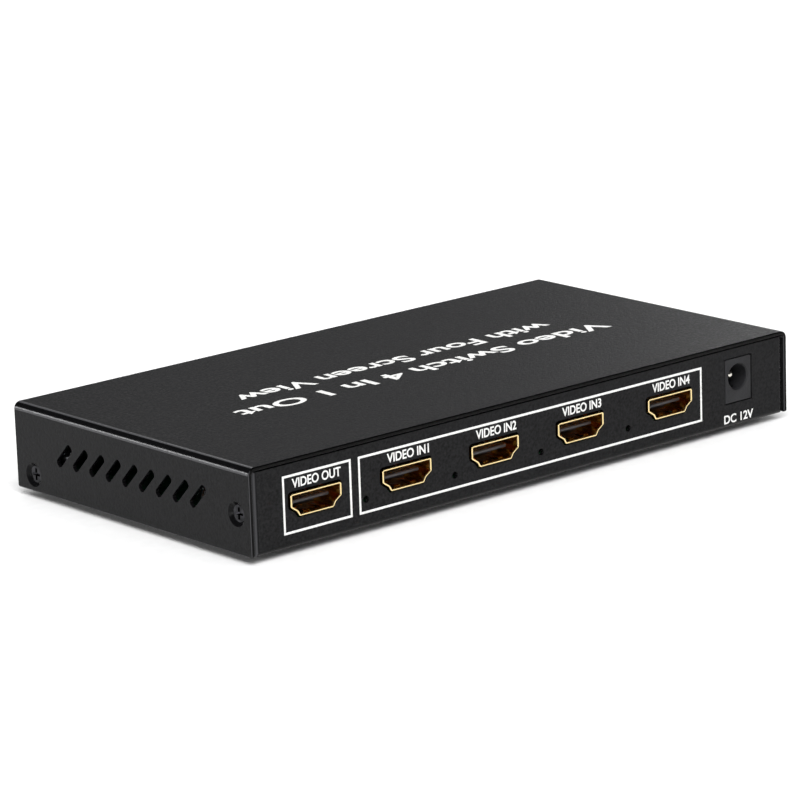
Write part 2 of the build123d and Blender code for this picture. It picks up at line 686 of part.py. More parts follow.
def heat_sink():
    """Extruded aluminium heat sink: a flat base with fins that run towards the panels."""
    z0 = BOARD_UPPER + PROCESSOR_HEIGHT + PAD_HEIGHT
    half = SINK_SIZE / 2
    sink = block(-half, half, -half, half, z0, z0 + SINK_HEIGHT)
    pitch = (SINK_SIZE - FIN_THICKNESS) / (FIN_COUNT - 1)
    gap = pitch - FIN_THICKNESS
    for i in range(FIN_COUNT - 1):
        x0 = -half + FIN_THICKNESS + pitch * i
        sink -= block(x0, x0 + gap, -half - 1, half + 1, z0 + SINK_BASE, z0 + SINK_HEIGHT + 1)
    return Pos(PROCESSOR_X, PROCESSOR_Y, 0) * sink


def crystal():
    """Metal-can crystal with rounded ends."""
    base_length, base_width, base_height = CRYSTAL_BASE
    can_length, can_width, can_height = CRYSTAL_CAN
    base = extrude(SlotOverall(base_length, base_width), base_height)
    can = Pos(0, 0, base_height) * extrude(SlotOverall(can_length, can_width), can_height)
    can = fillet(can.edges().group_by(Axis.Z)[-1], 0.5)
    x, depth = CRYSTAL_PLACE
    return Pos(x, PORT_END + depth, BOARD_UPPER) * (base + can)


def power_inductor():
    """Shielded square inductor with a round ferrite core in its top."""
    x, depth = INDUCTOR_PLACE
    inner, outer, groove_depth = INDUCTOR_GROOVE
    shield = on_board(x, depth, INDUCTOR_SIZE, INDUCTOR_SIZE, INDUCTOR_HEIGHT)
    shield = fillet(shield.edges().filter_by(Axis.Z), 2.0)
    y = PORT_END + depth
    top = BOARD_UPPER + INDUCTOR_HEIGHT
    ring = upright(outer, x, y, top - groove_depth, top + 1) - upright(inner, x, y, top - 1, top + 2)
    return shield - ring


def regulator():
    """Power regulator: moulded body with a metal tab behind it."""
    x, depth = REGULATOR_PLACE
    body = on_board(x, depth, *REGULATOR_SIZE)
    body = chamfer(body.edges().group_by(Axis.Z)[-1], 0.4)
    tab_depth = depth + (REGULATOR_SIZE[1] + REGULATOR_TAB[1]) / 2
    return body + on_board(x, tab_depth, *REGULATOR_TAB)


def filter_capacitor(x, depth):
    """Can capacitor on a square base, with a crimped groove round the can."""
    base = on_board(x, depth, *CAPACITOR_BASE)
    base = chamfer(base.edges().filter_by(Axis.Z).group_by(Axis.Y)[-1], 1.2)
    y = PORT_END + depth
    z0 = BOARD_UPPER + CAPACITOR_BASE[2]
    can = upright(CAPACITOR_RADIUS, x, y, z0, z0 + CAPACITOR_HEIGHT)
    can = fillet(can.edges().group_by(Axis.Z)[-1], 0.5)
    groove = upright(4, x, y, z0 + 1.2, z0 + 1.8) - upright(CAPACITOR_NECK_RADIUS, x, y, z0, z0 + 3)
    return base + (can - groove)


# ---- control panel -------------------------------------------------------------------------

def on_axis(radius, x, front, back):
    """Round piece on a control's axis, between two depths back from the end of the cover."""
    return lengthwise(radius, x, UNDERSIDE + CONTROL_AXIS, CONTROL_END - back, CONTROL_END - front)


def push_button(x):
    """Button cap, held behind the panel by its flange, with a socket for the switch plunger."""
    cap = on_axis(BUTTON_RADIUS, x, -BUTTON_PROUD, FLANGE_FRONT)
    cap = fillet(cap.edges().group_by(Axis.Y)[-1], 0.5)
    cap += on_axis(BUTTON_RADIUS + FLANGE_WIDER, x, FLANGE_FRONT, FLANGE_BACK)
    cap += on_axis(STEM_RADIUS, x, FLANGE_BACK, STEM_BACK)
    return cap - on_axis(PLUNGER_RADIUS + 0.05, x, PLUNGER_FRONT, STEM_BACK + 1)


def switch_plunger(x):
    """Plunger of a push switch, kept in the switch by a collar."""
    collar = on_axis(PLUNGER_RADIUS + COLLAR_WIDER, x, COLLAR_FRONT, PLUNGER_BACK)
    return on_axis(PLUNGER_RADIUS, x, PLUNGER_FRONT, PLUNGER_BACK) + collar


def switch_body(x):
    """Body of a push switch, with room behind the plunger for its travel."""
    half = SWITCH_HALF_WIDTH
    top = UNDERSIDE + CONTROL_AXIS + half
    y0 = CONTROL_END - SWITCH_BACK
    y1 = CONTROL_END - SWITCH_FRONT
    body = block(x - half, x + half, y0, y1, BOARD_UPPER, top)
    body = chamfer(body.edges().group_by(Axis.Z)[-1], 0.3)
    body -= on_axis(PLUNGER_RADIUS + 0.1, x, SWITCH_FRONT - 1, SWITCH_CAVITY)
    return body - on_axis(PLUNGER_RADIUS + COLLAR_WIDER + 0.15, x, COLLAR_FRONT - 0.1, SWITCH_CAVITY)


def infrared_window():
    """Dark round window, held behind the panel by its flange."""
    window = on_axis(WINDOW_RADIUS, WINDOW_X, PANEL_INSET - 0.2, FLANGE_FRONT)
    window = fillet(window.edges().group_by(Axis.Y)[-1], 0.15)
    return window + on_axis(WINDOW_RADIUS + 0.9, WINDOW_X, FLANGE_FRONT, FLANGE_BACK)


def infrared_receiver():
    """Infrared receiver: a moulded block with a round lens towards the window."""
    x = WINDOW_X
    half = RECEIVER_HALF_WIDTH
    top = UNDERSIDE + CONTROL_AXIS + 3.0
    y0 = CONTROL_END - RECEIVER_BACK
    y1 = CONTROL_END - RECEIVER_FRONT
    body = block(x - half, x + half, y0, y1, BOARD_UPPER, top)
    body = chamfer(body.edges().group_by(Axis.Z)[-1], 0.4)
    lens = on_axis(RECEIVER_LENS_RADIUS, x, RECEIVER_FRONT - 1.4, RECEIVER_FRONT + 0.1)
    return body + fillet(lens.edges().group_by(Axis.Y)[-1], 1.2)


def power_led():
    """Round light that looks out through the panel, on a holder that stands on the board."""
    x = POWER_LED_X
    half = LED_HOLDER_HALF_WIDTH
    lens = on_axis(LED_RADIUS, x, -0.3, HOLDER_FRONT - 0.1)
    lens = fillet(lens.edges().group_by(Axis.Y)[-1], LED_RADIUS * 0.9)
    rim = on_axis(LED_RADIUS + 0.4, x, HOLDER_FRONT - 0.9, HOLDER_FRONT)
    top = UNDERSIDE + CONTROL_AXIS + 2.0
    y0 = CONTROL_END - HOLDER_BACK
    y1 = CONTROL_END - HOLDER_FRONT
    holder = block(x - half, x + half, y0, y1, BOARD_UPPER, top)
    return lens + rim + chamfer(holder.edges().group_by(Axis.Z)[-1], 0.3)


# ---- all sub-parts -------------------------------------------------------------------------

def write_box():
    """Cover, chassis, cover screws and feet."""
    save(top_cover(), "top_cover")
    save(base_chassis(), "base_chassis")
    screw = cover_screw()
    save(Compound(children=[plane * screw for plane in screw_places()]), "cover_screws")
    pad = foot()
    ends = {"port": PORT_END + FOOT_FROM_END, "control": CONTROL_END - FOOT_FROM_END}
    for end, y in ends.items():
        for side, name in ((-1, "left"), (1, "right")):
            save(Pos(side * FOOT_X, y, 0) * pad, "foot_" + end + "_" + name)


def write_board():
    """Board, standoffs and board screws."""
    places = list(board_hole_places())
    save(main_board(), "main_board")
    save(Compound(children=[board_standoff(x, y) for x, y in places]), "board_standoffs")
    save(Compound(children=[board_screw(x, y) for x, y in places]), "board_screws")


def write_sockets():
    """Shell, insulator and contacts of the output and the four inputs."""
    shell = video_shell()
    contacts = video_contacts()
    insulator = video_insulator(contacts)
    sockets = {"video_out": OUTPUT_X}
    for number, x in enumerate(INPUT_X, start=1):
        sockets["video_in_" + str(number)] = x
    for name, x in sockets.items():
        place = Pos(x, 0, SHELL_BASE)
        save(place * shell, name + "_shell")
        save(place * insulator, name + "_insulator")
        save(Compound(children=[place * one for one in contacts]), name + "_contacts")


def write_port_side():
    """Power jack and the lights beside the inputs."""
    save(power_jack_body(), "power_jack_body")
    save(power_jack_pin(), "power_jack_pin")
    save(power_jack_spring(), "power_jack_spring")
    for number, x in enumerate(PINHOLE_X, start=1):
        save(port_led(x), "port_led_" + str(number))


def write_electronics():
    """Chips, heat sink and power parts."""
    size = PROCESSOR_SIZE
    save(flat_chip(PROCESSOR_X, PROCESSOR_DEPTH, size, size, PROCESSOR_HEIGHT, 0), "processor_chip")
    save(thermal_pad(), "thermal_pad")
    save(heat_sink(), "heat_sink")
    for number, x in enumerate(INPUT_X, start=1):
        save(flat_chip(x, VIDEO_CHIP_DEPTH, *VIDEO_CHIP_SIZE), "video_receiver_" + str(number))
    save(flat_chip(OUTPUT_X, VIDEO_CHIP_DEPTH, *VIDEO_CHIP_SIZE), "video_transmitter")
    for number, x in enumerate(MEMORY_X, start=1):
        save(flat_chip(x, MEMORY_DEPTH, *MEMORY_SIZE), "memory_chip_" + str(number))
    save(flat_chip(*FLASH_PLACE, *FLASH_SIZE), "flash_chip")
    save(flat_chip(*CONTROLLER_PLACE, *CONTROLLER_SIZE), "controller_chip")
    save(crystal(), "crystal")
    save(power_inductor(), "power_inductor")
    save(regulator(), "regulator")
    for number, x in enumerate(CAPACITOR_X, start=1):
        save(filter_capacitor(x, CAPACITOR_DEPTH), "filter_capacitor_" + str(number))


def write_control_side():
    """Buttons with their switches, the infrared receiver and the power light."""
    for name, x in (("select", SELECT_X), ("mode", MODE_X)):
        save(push_button(x), name + "_button")
        save(switch_plunger(x), name + "_plunger")
        save(switch_body(x), name + "_switch_body")
    save(infrared_window(), "infrared_window")
    save(infrared_receiver(), "infrared_receiver")
    save(power_led(), "power_led")


os.makedirs("parts", exist_ok=True)
write_box()
write_board()
write_sockets()
write_port_side()
write_electronics()
write_control_side()
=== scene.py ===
# %% [markdown]
# # A four-input video switch
#
# The object is a low box of folded steel, coated black, with five video sockets and a power
# jack on one long face. Its frame, its sockets and everything inside come from a CAD model, so
# this notebook leaves their shapes alone. What it adds is what the eye reads as real: the
# grain of the powder coat, gold on the socket rims, white ink, and the small soldered parts
# that nobody draws in CAD. Every length is in metres, and MM turns millimetres into metres.

# %% Load the frame
import json
from math import cos, pi, radians, sin

import bmesh
import bpy
from mathutils import Matrix, Vector


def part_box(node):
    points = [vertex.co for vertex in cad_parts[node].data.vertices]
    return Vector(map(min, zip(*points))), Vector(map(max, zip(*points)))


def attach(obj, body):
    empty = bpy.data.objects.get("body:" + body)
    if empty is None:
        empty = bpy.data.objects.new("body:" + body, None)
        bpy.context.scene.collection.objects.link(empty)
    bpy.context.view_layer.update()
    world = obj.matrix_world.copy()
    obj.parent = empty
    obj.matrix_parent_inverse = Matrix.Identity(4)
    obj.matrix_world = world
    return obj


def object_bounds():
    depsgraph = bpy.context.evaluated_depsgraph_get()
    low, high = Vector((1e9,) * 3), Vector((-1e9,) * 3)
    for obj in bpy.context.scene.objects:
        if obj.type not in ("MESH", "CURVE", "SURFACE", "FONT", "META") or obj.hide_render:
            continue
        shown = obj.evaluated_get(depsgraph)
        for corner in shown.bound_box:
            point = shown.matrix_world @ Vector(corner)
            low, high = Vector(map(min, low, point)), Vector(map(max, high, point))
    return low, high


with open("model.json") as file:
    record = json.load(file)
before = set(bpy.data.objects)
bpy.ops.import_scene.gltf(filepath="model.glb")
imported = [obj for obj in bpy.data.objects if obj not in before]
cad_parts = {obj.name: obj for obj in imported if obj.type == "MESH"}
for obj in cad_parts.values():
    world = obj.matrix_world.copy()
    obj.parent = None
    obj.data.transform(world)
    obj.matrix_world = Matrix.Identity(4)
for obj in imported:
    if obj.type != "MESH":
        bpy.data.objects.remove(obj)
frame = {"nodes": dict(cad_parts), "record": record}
cad_low, cad_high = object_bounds()
MM = 0.001
nodes = frame["nodes"]
print("CAD nodes:", len(nodes), "size in mm:", [round(s / MM, 1) for s in cad_high - cad_low])

# %% [markdown]
# ## Camera
#
# The box is seen from its left and a little above, through a long lens, which keeps its edges
# almost parallel. A camera can be aimed with a constraint, but building its rotation from
# three directions (right, up and back) is exact and lets it lean by a small roll.

# %% Camera
CAMERA_AZIMUTH = radians(-40.66)
CAMERA_ELEVATION = radians(14.56)
CAMERA_ROLL = radians(-1.96)
CAMERA_DISTANCE = 0.985
CAMERA_LENS = 180.5
SENSOR_WIDTH = 36
AIM_FROM_MIDDLE = Vector((-3.1, -0.5, 3.2)) * MM


def direction(azimuth, elevation):
    """The way out to a point seen at angles round from -Y and up from the floor, in radians."""
    level = cos(elevation)
    return Vector((sin(azimuth) * level, -cos(azimuth) * level, sin(elevation)))


def place_camera():
    """A long-lens camera that looks at a point near the middle of the box."""
    back = direction(CAMERA_AZIMUTH, CAMERA_ELEVATION)
    right = Vector((cos(CAMERA_AZIMUTH), sin(CAMERA_AZIMUTH), 0))
    up = back.cross(right)
    leaning_right = right * cos(CAMERA_ROLL) + up * sin(CAMERA_ROLL)
    leaning_up = up * cos(CAMERA_ROLL) - right * sin(CAMERA_ROLL)
    camera = bpy.data.objects.new("camera", bpy.data.cameras.new("camera"))
    camera.data.lens = CAMERA_LENS
    camera.data.sensor_width = SENSOR_WIDTH
    camera.data.clip_start = 0.01
    turn = Matrix((leaning_right, leaning_up, back)).transposed().to_4x4()
    aim = (cad_low + cad_high) / 2 + AIM_FROM_MIDDLE
    camera.matrix_world = Matrix.Translation(aim + back * CAMERA_DISTANCE) @ turn
    bpy.context.scene.collection.objects.link(camera)
    bpy.context.scene.camera = camera
    return camera


camera = place_camera()
print("camera at", [round(v, 3) for v in camera.matrix_world.translation])

# %% [markdown]
# ## Building blocks for materials
#
# Colours are written as the hex values that a paint chart gives, and one function turns them
# into the linear numbers that a renderer adds up. Every pattern takes its place from Object
# coordinates, which are metres here, so a pattern's scale is 1 / its real size. One function
# adds a node: its inputs can be values, or other nodes to link. A noise texture's values crowd
# round a half, so 0.3 to 0.7 counts as its whole range.

# %% Material helpers
NOISE_RANGE = {"From Min": 0.3, "From Max": 0.7}

# A Mix node has sockets of every type, so its colour sockets are picked by number
MIX, COLOUR_A, COLOUR_B, MIXED = 0, 6, 7, 2


def linear(hex_colour):
    """Linear RGBA from an sRGB hex colour such as 'c8a050'."""
    channels = [int(hex_colour[i:i + 2], 16) / 255 for i in (0, 2, 4)]
    return [c / 12.92 if c <= 0.04045 else ((c + 0.055) / 1.055) ** 2.4 for c in channels] + [1.0]


def per_mm(size_mm):
    """Texture scale at which one feature is about size_mm wide."""
    return 1 / (size_mm * MM)


def add_node(tree, kind, inputs=None, **settings):
    """Adds a node and its settings; an input takes a value, a hex colour, or nodes to link."""
    node = tree.nodes.new(kind)
    for name, value in settings.items():
        setattr(node, name, value)
    for name, value in (inputs or {}).items():
        for source in value if isinstance(value, list) else [value]:
            if isinstance(source, bpy.types.Node):
                source = next(socket for socket in source.outputs if socket.enabled)
            if isinstance(source, bpy.types.NodeSocket):
                tree.links.new(source, node.inputs[name])
            else:
                node.inputs[name].default_value = linear(source) if isinstance(source, str) else source
    return node


def start_material(name):
    """An empty material; returns it, its node tree and its Object coordinates."""
    material = bpy.data.materials.new(name)
    material.use_nodes = True
    tree = material.node_tree
    tree.nodes.clear()
    return material, tree, add_node(tree, "ShaderNodeTexCoord").outputs["Object"]


# %% [markdown]
# ## Powder-coated steel
#
# Powder coat is dry paint melted onto steel. It flows a little before it sets, so it has a slow
# orange-peel swell a millimetre or two across, and the fine-texture kind adds a hard grain that
# breaks every reflection into a soft sheen. The true grain is finer than this view can show, so
# it is drawn 0.7 mm coarse. On a fold the melted coat is drawn thin and smooth, its colour is
# darkened there as painted shade, and a pale painted highlight runs along each rim, so a fold
# shows as a black line between two light ones.
#
# The surface's own normal tells a fold from a flat face: on a flat one, one of its three parts
# is 1 and the others are 0. Upright rounded edges are painted paler as a highlight, and the
# sheet's cut ends are painted the blackest, as shade.

# %% Powder-coated steel
COAT_GRAIN_MM = 0.7
COAT_SWELL_MM = 1.8
cover_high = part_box("top_cover")[1]

# Where the coat's painted highlights and painted shade start: distances from the middle of the box
# along X and Y, and a height
RIM_FROM_X = cover_high.x - 2.6 * MM
CUT_EDGE_FROM_X = cover_high.x - 1.15 * MM
CUT_EDGE_FROM_Z = cover_high.z - 1.15 * MM
PANEL_END_FROM_Y = 43.6 * MM

# A normal's largest part: on a flat face, as a fold starts, well into it, and as its rim ends
FLAT, FOLD_STARTS, FOLD_FULL, RIM_FADES, RIM_ENDS = 0.9995, 0.9985, 0.985, 0.94, 0.9


def fold_masks(tree, x, y, z, from_middle):
    """One mask that is 1 on folds, edges and dimples, and one for the painted highlight lines on the
    two rims of a fold.
    """
    larger = add_node(tree, "ShaderNodeMath", {0: x, 1: y}, operation="MAXIMUM")
    largest = add_node(tree, "ShaderNodeMath", {0: larger, 1: z}, operation="MAXIMUM")
    fold = add_node(tree, "ShaderNodeMapRange", {
        "Value": largest, "From Min": FOLD_FULL, "From Max": FLAT, "To Min": 1.0, "To Max": 0.0})
    rim = add_node(tree, "ShaderNodeMapRange", {
        "Value": largest, "From Min": FOLD_STARTS, "From Max": FLAT, "To Min": 1.0, "To Max": 0.0})
    off_middle = add_node(tree, "ShaderNodeMapRange", {
        "Value": largest, "From Min": RIM_ENDS, "From Max": RIM_FADES})
    along_y = add_node(tree, "ShaderNodeMath", {0: y, 1: 0.02}, operation="LESS_THAN")
    at_side = add_node(tree, "ShaderNodeMath", {
        0: from_middle, 1: RIM_FROM_X}, operation="GREATER_THAN")
    for mask in (off_middle, along_y, at_side):
        rim = add_node(tree, "ShaderNodeMath", {0: rim, 1: mask}, operation="MULTIPLY")
    return fold, rim


def edge_highlight_mask(tree, x, y, at_end):
    """1 along upright rounded edges, where the normal points midway between X and Y; they get a painted
    highlight.
    """
    product = add_node(tree, "ShaderNodeMath", {0: x, 1: y}, operation="MULTIPLY")
    rounded = add_node(tree, "ShaderNodeMapRange", {
        "Value": product, "From Min": 0.3, "From Max": 0.46})
    return add_node(tree, "ShaderNodeMath", {0: rounded, 1: at_end}, operation="MULTIPLY")


def cut_edge_shade_mask(tree, y, from_middle, height, at_end):
    """1 on the sawn ends of the cover's sheet, which face along Y round the two panels; they get
    painted shade.
    """
    beside = add_node(tree, "ShaderNodeMath", {
        0: from_middle, 1: CUT_EDGE_FROM_X}, operation="GREATER_THAN")
    above = add_node(tree, "ShaderNodeMath", {
        0: height, 1: CUT_EDGE_FROM_Z}, operation="GREATER_THAN")
    mask = add_node(tree, "ShaderNodeMath", {0: beside, 1: above}, operation="MAXIMUM")
    facing = add_node(tree, "ShaderNodeMath", {0: y, 1: 0.5}, operation="GREATER_THAN")
    for other in (facing, at_end):
        mask = add_node(tree, "ShaderNodeMath", {0: mask, 1: other}, operation="MULTIPLY")
    return mask


def powder_coated_steel():
    """Fine-texture satin black coat, smoother on folds; painted shade on folds and cut ends, painted
    highlights on fold rims and upright edges.
    """
    material, tree, where = start_material("powder_coated_steel")
    normal = add_node(tree, "ShaderNodeTexCoord").outputs["Normal"]
    facing = add_node(tree, "ShaderNodeVectorMath", {0: normal}, operation="ABSOLUTE")
    x, y, z = add_node(tree, "ShaderNodeSeparateXYZ", {0: facing}).outputs
    distance = add_node(tree, "ShaderNodeVectorMath", {0: where}, operation="ABSOLUTE")
    from_middle, depth, height = add_node(tree, "ShaderNodeSeparateXYZ", {0: distance}).outputs
    at_end = add_node(tree, "ShaderNodeMath", {0: depth, 1: PANEL_END_FROM_Y}, operation="GREATER_THAN")
    fold, rim = fold_masks(tree, x, y, z, from_middle)
    grain = add_node(tree, "ShaderNodeTexNoise", {
        "Vector": where, "Scale": per_mm(COAT_GRAIN_MM), "Detail": 3.0, "Roughness": 0.6})
    swell = add_node(tree, "ShaderNodeTexNoise", {
        "Vector": where, "Scale": per_mm(COAT_SWELL_MM), "Detail": 1.0})
    speckle = add_node(tree, "ShaderNodeMapRange", {"Value": grain, **NOISE_RANGE})
    flat = add_node(tree, "ShaderNodeMix", {
        MIX: speckle, COLOUR_A: "040405", COLOUR_B: "242425"}, data_type="RGBA")
    # Folds, edges and dimples get a darker colour: painted shade
    folded = add_node(tree, "ShaderNodeMix", {
        MIX: fold, COLOUR_A: flat, COLOUR_B: "0c0c0d"}, data_type="RGBA")
    # The two rims of each fold get a pale colour: a painted highlight line
    rim_highlighted = add_node(tree, "ShaderNodeMix", {
        MIX: rim, COLOUR_A: folded, COLOUR_B: "4a4a4c"}, data_type="RGBA")
    # The cover's cut ends get the blackest colour: painted shade
    cut = add_node(tree, "ShaderNodeMix", {
        MIX: cut_edge_shade_mask(tree, y, from_middle, height, at_end), COLOUR_A: rim_highlighted,
        COLOUR_B: "030303"}, data_type="RGBA")
    # Upright rounded edges get a paler colour: a painted highlight
    colour = add_node(tree, "ShaderNodeMix", {
        MIX: edge_highlight_mask(tree, x, y, at_end), COLOUR_A: cut, COLOUR_B: "404042"}, data_type="RGBA")
    flat_roughness = add_node(tree, "ShaderNodeMapRange", {
        "Value": grain, **NOISE_RANGE, "To Min": 0.38, "To Max": 0.68})
    roughness = add_node(tree, "ShaderNodeMath", {
        0: fold, 1: -0.36, 2: flat_roughness}, operation="MULTIPLY_ADD")
    swelling = add_node(tree, "ShaderNodeBump", {"Height": swell, "Distance": 0.012 * MM})
    relief = add_node(tree, "ShaderNodeMapRange", {
        "Value": fold, "To Min": 0.09 * MM, "To Max": 0.01 * MM})
    bump = add_node(tree, "ShaderNodeBump", {"Height": grain, "Distance": relief, "Normal": swelling})
    shader = add_node(tree, "ShaderNodeBsdfPrincipled", {
        "Base Color": colour, "Roughness": roughness, "IOR": 1.5, "Specular IOR Level": 0.11,
        "Normal": bump})
    add_node(tree, "ShaderNodeOutputMaterial", {"Surface": shader})
    return material


# %% [markdown]
# ## Gold on steel, and bare metals
#
# The socket shells are drawn steel with a flash of gold a fraction of a micron thick. It hides
# nothing: the draw lines of the die still run along the shell and stretch each reflection. So
# the roughness is noise pulled out along Y, the way the shell was drawn. The other metals are
# made the same way with their own colour, line width and roughness.

# %% Metals
def metal(name, dark, light, roughness, line_mm, stretch, depth_mm=0.002):
    """A bare or plated metal with fine lines along the direction it was drawn, rolled or cut."""
    material, tree, where = start_material(name)
    along = add_node(tree, "ShaderNodeMapping", {"Vector": where, "Scale": stretch})
    lines = add_node(tree, "ShaderNodeTexNoise", {
        "Vector": along, "Scale": per_mm(line_mm), "Detail": 3.0})
    cloud = add_node(tree, "ShaderNodeTexNoise", {
        "Vector": where, "Scale": per_mm(6 * line_mm), "Detail": 1.0})
    shade = add_node(tree, "ShaderNodeMapRange", {"Value": cloud, **NOISE_RANGE})
    colour = add_node(tree, "ShaderNodeMix", {
        MIX: shade, COLOUR_A: dark, COLOUR_B: light}, data_type="RGBA")
    dullness = add_node(tree, "ShaderNodeMapRange", {
        "Value": lines, **NOISE_RANGE, "To Min": roughness[0], "To Max": roughness[1]})
    bump = add_node(tree, "ShaderNodeBump", {"Height": lines, "Distance": depth_mm * MM})
    shader = add_node(tree, "ShaderNodeBsdfPrincipled", {
        "Base Color": colour, "Metallic": 1.0, "Roughness": dullness, "Normal": bump})
    add_node(tree, "ShaderNodeOutputMaterial", {"Surface": shader})
    return material


# How lines are stretched: scaling coordinates down along an axis draws lines out along it
ALONG_Y = (1.0, 0.08, 1.0)
ALONG_X = (0.08, 1.0, 1.0)
EVENLY = (1.0, 1.0, 1.0)
RIM_STARTS_TO_FADE = 0.15 * MM
RIM_FADED = 0.6 * MM


def gold_shell(mouth_y):
    """Gold flash on drawn steel: a deeper orange inside as painted reflection, and a paler colour on
    the rim as a painted highlight.
    """
    material = metal("gold_plated_steel", "e0962c", "ffbc50", (0.12, 0.26), 0.25, ALONG_Y)
    tree = material.node_tree
    shader = next(node for node in tree.nodes if node.type == "BSDF_PRINCIPLED")
    reflection_gold = shader.inputs["Base Color"].links[0].from_socket
    where = add_node(tree, "ShaderNodeTexCoord").outputs["Object"]
    y = add_node(tree, "ShaderNodeSeparateXYZ", {0: where}).outputs["Y"]
    inside = add_node(tree, "ShaderNodeMapRange", {
        "Value": y, "From Min": mouth_y + RIM_STARTS_TO_FADE, "From Max": mouth_y + RIM_FADED})
    # Paler gold on the mouth's rim is a painted highlight; the deeper orange further in is painted
    # reflection
    colour = add_node(tree, "ShaderNodeMix", {
        MIX: inside, COLOUR_A: "fbe2a6", COLOUR_B: reflection_gold}, data_type="RGBA")
    tree.links.new(colour.outputs[MIXED], shader.inputs["Base Color"])
    return material


# %% [markdown]
# ## Plastics, rubber and epoxy
#
# Moulded parts copy the steel of their mould, which is spark-eroded to a fine matt grain on
# housings and polished on buttons and lenses. One recipe serves them all: a base colour with a
# faint cloud in it, and a grain whose size and depth say how the mould was finished.

# %% Moulded materials
def moulded(name, dark, light, roughness, grain_mm, depth_mm, specular=0.5):
    """A moulded plastic, rubber or epoxy with the grain of its mould."""
    material, tree, where = start_material(name)
    grain = add_node(tree, "ShaderNodeTexNoise", {
        "Vector": where, "Scale": per_mm(grain_mm), "Detail": 3.0, "Roughness": 0.6})
    cloud = add_node(tree, "ShaderNodeTexNoise", {
        "Vector": where, "Scale": per_mm(12 * grain_mm), "Detail": 1.0})
    shade = add_node(tree, "ShaderNodeMapRange", {"Value": cloud, **NOISE_RANGE})
    colour = add_node(tree, "ShaderNodeMix", {
        MIX: shade, COLOUR_A: dark, COLOUR_B: light}, data_type="RGBA")
    dullness = add_node(tree, "ShaderNodeMapRange", {
        "Value": grain, **NOISE_RANGE, "To Min": roughness[0], "To Max": roughness[1]})
    bump = add_node(tree, "ShaderNodeBump", {"Height": grain, "Distance": depth_mm * MM})
    shader = add_node(tree, "ShaderNodeBsdfPrincipled", {
        "Base Color": colour, "Roughness": dullness, "IOR": 1.5, "Specular IOR Level": specular,
        "Normal": bump})
    add_node(tree, "ShaderNodeOutputMaterial", {"Surface": shader})
    return material


# %% [markdown]
# ## Solder mask over copper
#
# The board's green is a film of ink, and the copper tracks under it stand up a few hundredths
# of a millimetre and show as a lighter green. A brick pattern with long thin bricks gives runs
# of parallel tracks, and a second one turned by a quarter gives the runs that cross them.

# %% Circuit board
TRACK_PITCH_MM = 0.9
TRACK_ZONE_MM = 16
TRACK_PATCH_MM = 7


def board_laminate():
    """Green solder mask with raised tracks."""
    material, tree, where = start_material("green_solder_mask")
    runs = []
    for turn in (0, pi / 2):
        turned = add_node(tree, "ShaderNodeMapping", {"Vector": where, "Rotation": (0, 0, turn)})
        bricks = add_node(tree, "ShaderNodeTexBrick", {
            "Vector": turned, "Scale": 1.0, "Mortar Size": 0.16 * TRACK_PITCH_MM * MM,
            "Mortar Smooth": 0.3, "Brick Width": 14 * TRACK_PITCH_MM * MM,
            "Row Height": TRACK_PITCH_MM * MM}, offset=0.37)
        runs.append(bricks.outputs["Fac"])
    zone_noise = add_node(tree, "ShaderNodeTexNoise", {
        "Vector": where, "Scale": per_mm(TRACK_ZONE_MM), "Detail": 0.0})
    zone = add_node(tree, "ShaderNodeMapRange", {
        "Value": zone_noise, "From Min": 0.45, "From Max": 0.55})
    tracks = add_node(tree, "ShaderNodeMix", {0: zone, 2: runs[0], 3: runs[1]})
    cover_noise = add_node(tree, "ShaderNodeTexNoise", {
        "Vector": where, "Scale": per_mm(TRACK_PATCH_MM), "Detail": 1.0})
    cover = add_node(tree, "ShaderNodeMapRange", {
        "Value": cover_noise, "From Min": 0.42, "From Max": 0.5})
    shown = add_node(tree, "ShaderNodeMath", {0: tracks, 1: cover}, operation="MULTIPLY")
    colour = add_node(tree, "ShaderNodeMix", {
        MIX: shown, COLOUR_A: "0c3a20", COLOUR_B: "1c6b3c"}, data_type="RGBA")
    ripple = add_node(tree, "ShaderNodeTexNoise", {"Vector": where, "Scale": per_mm(0.6)})
    dullness = add_node(tree, "ShaderNodeMapRange", {
        "Value": ripple, **NOISE_RANGE, "To Min": 0.28, "To Max": 0.42})
    bump = add_node(tree, "ShaderNodeBump", {"Height": shown, "Distance": 0.03 * MM})
    shader = add_node(tree, "ShaderNodeBsdfPrincipled", {
        "Base Color": colour, "Roughness": dullness, "IOR": 1.55, "Normal": bump})
    add_node(tree, "ShaderNodeOutputMaterial", {"Surface": shader})
    return material


# %% [markdown]
# ## Clear and glowing parts
#
# The infrared window is acrylic that looks black but passes heat light, so it is a glossy dark
# red, a touch see-through. The power light is tinted epoxy that scatters, which the shader does
# with transmission and a rough surface. A capacitor's can stands on a black plastic base, and
# the two are told apart by height alone.

# %% Windows, lights and capacitors
def clear_tinted(name, tint, roughness, transmission):
    """Tinted, see-through plastic with a faint swirl from the mould."""
    material, tree, where = start_material(name)
    swirl = add_node(tree, "ShaderNodeTexNoise", {
        "Vector": where, "Scale": per_mm(2.0), "Detail": 1.0})
    shade = add_node(tree, "ShaderNodeMapRange", {"Value": swirl, **NOISE_RANGE})
    colour = add_node(tree, "ShaderNodeMix", {
        MIX: shade, COLOUR_A: tint[0], COLOUR_B: tint[1]}, data_type="RGBA")
    dullness = add_node(tree, "ShaderNodeMapRange", {
        "Value": swirl, **NOISE_RANGE, "To Min": roughness[0], "To Max": roughness[1]})
    bump = add_node(tree, "ShaderNodeBump", {"Height": swirl, "Distance": 0.01 * MM})
    shader = add_node(tree, "ShaderNodeBsdfPrincipled", {
        "Base Color": colour, "Roughness": dullness, "IOR": 1.49,
        "Transmission Weight": transmission, "Normal": bump})
    add_node(tree, "ShaderNodeOutputMaterial", {"Surface": shader})
    return material


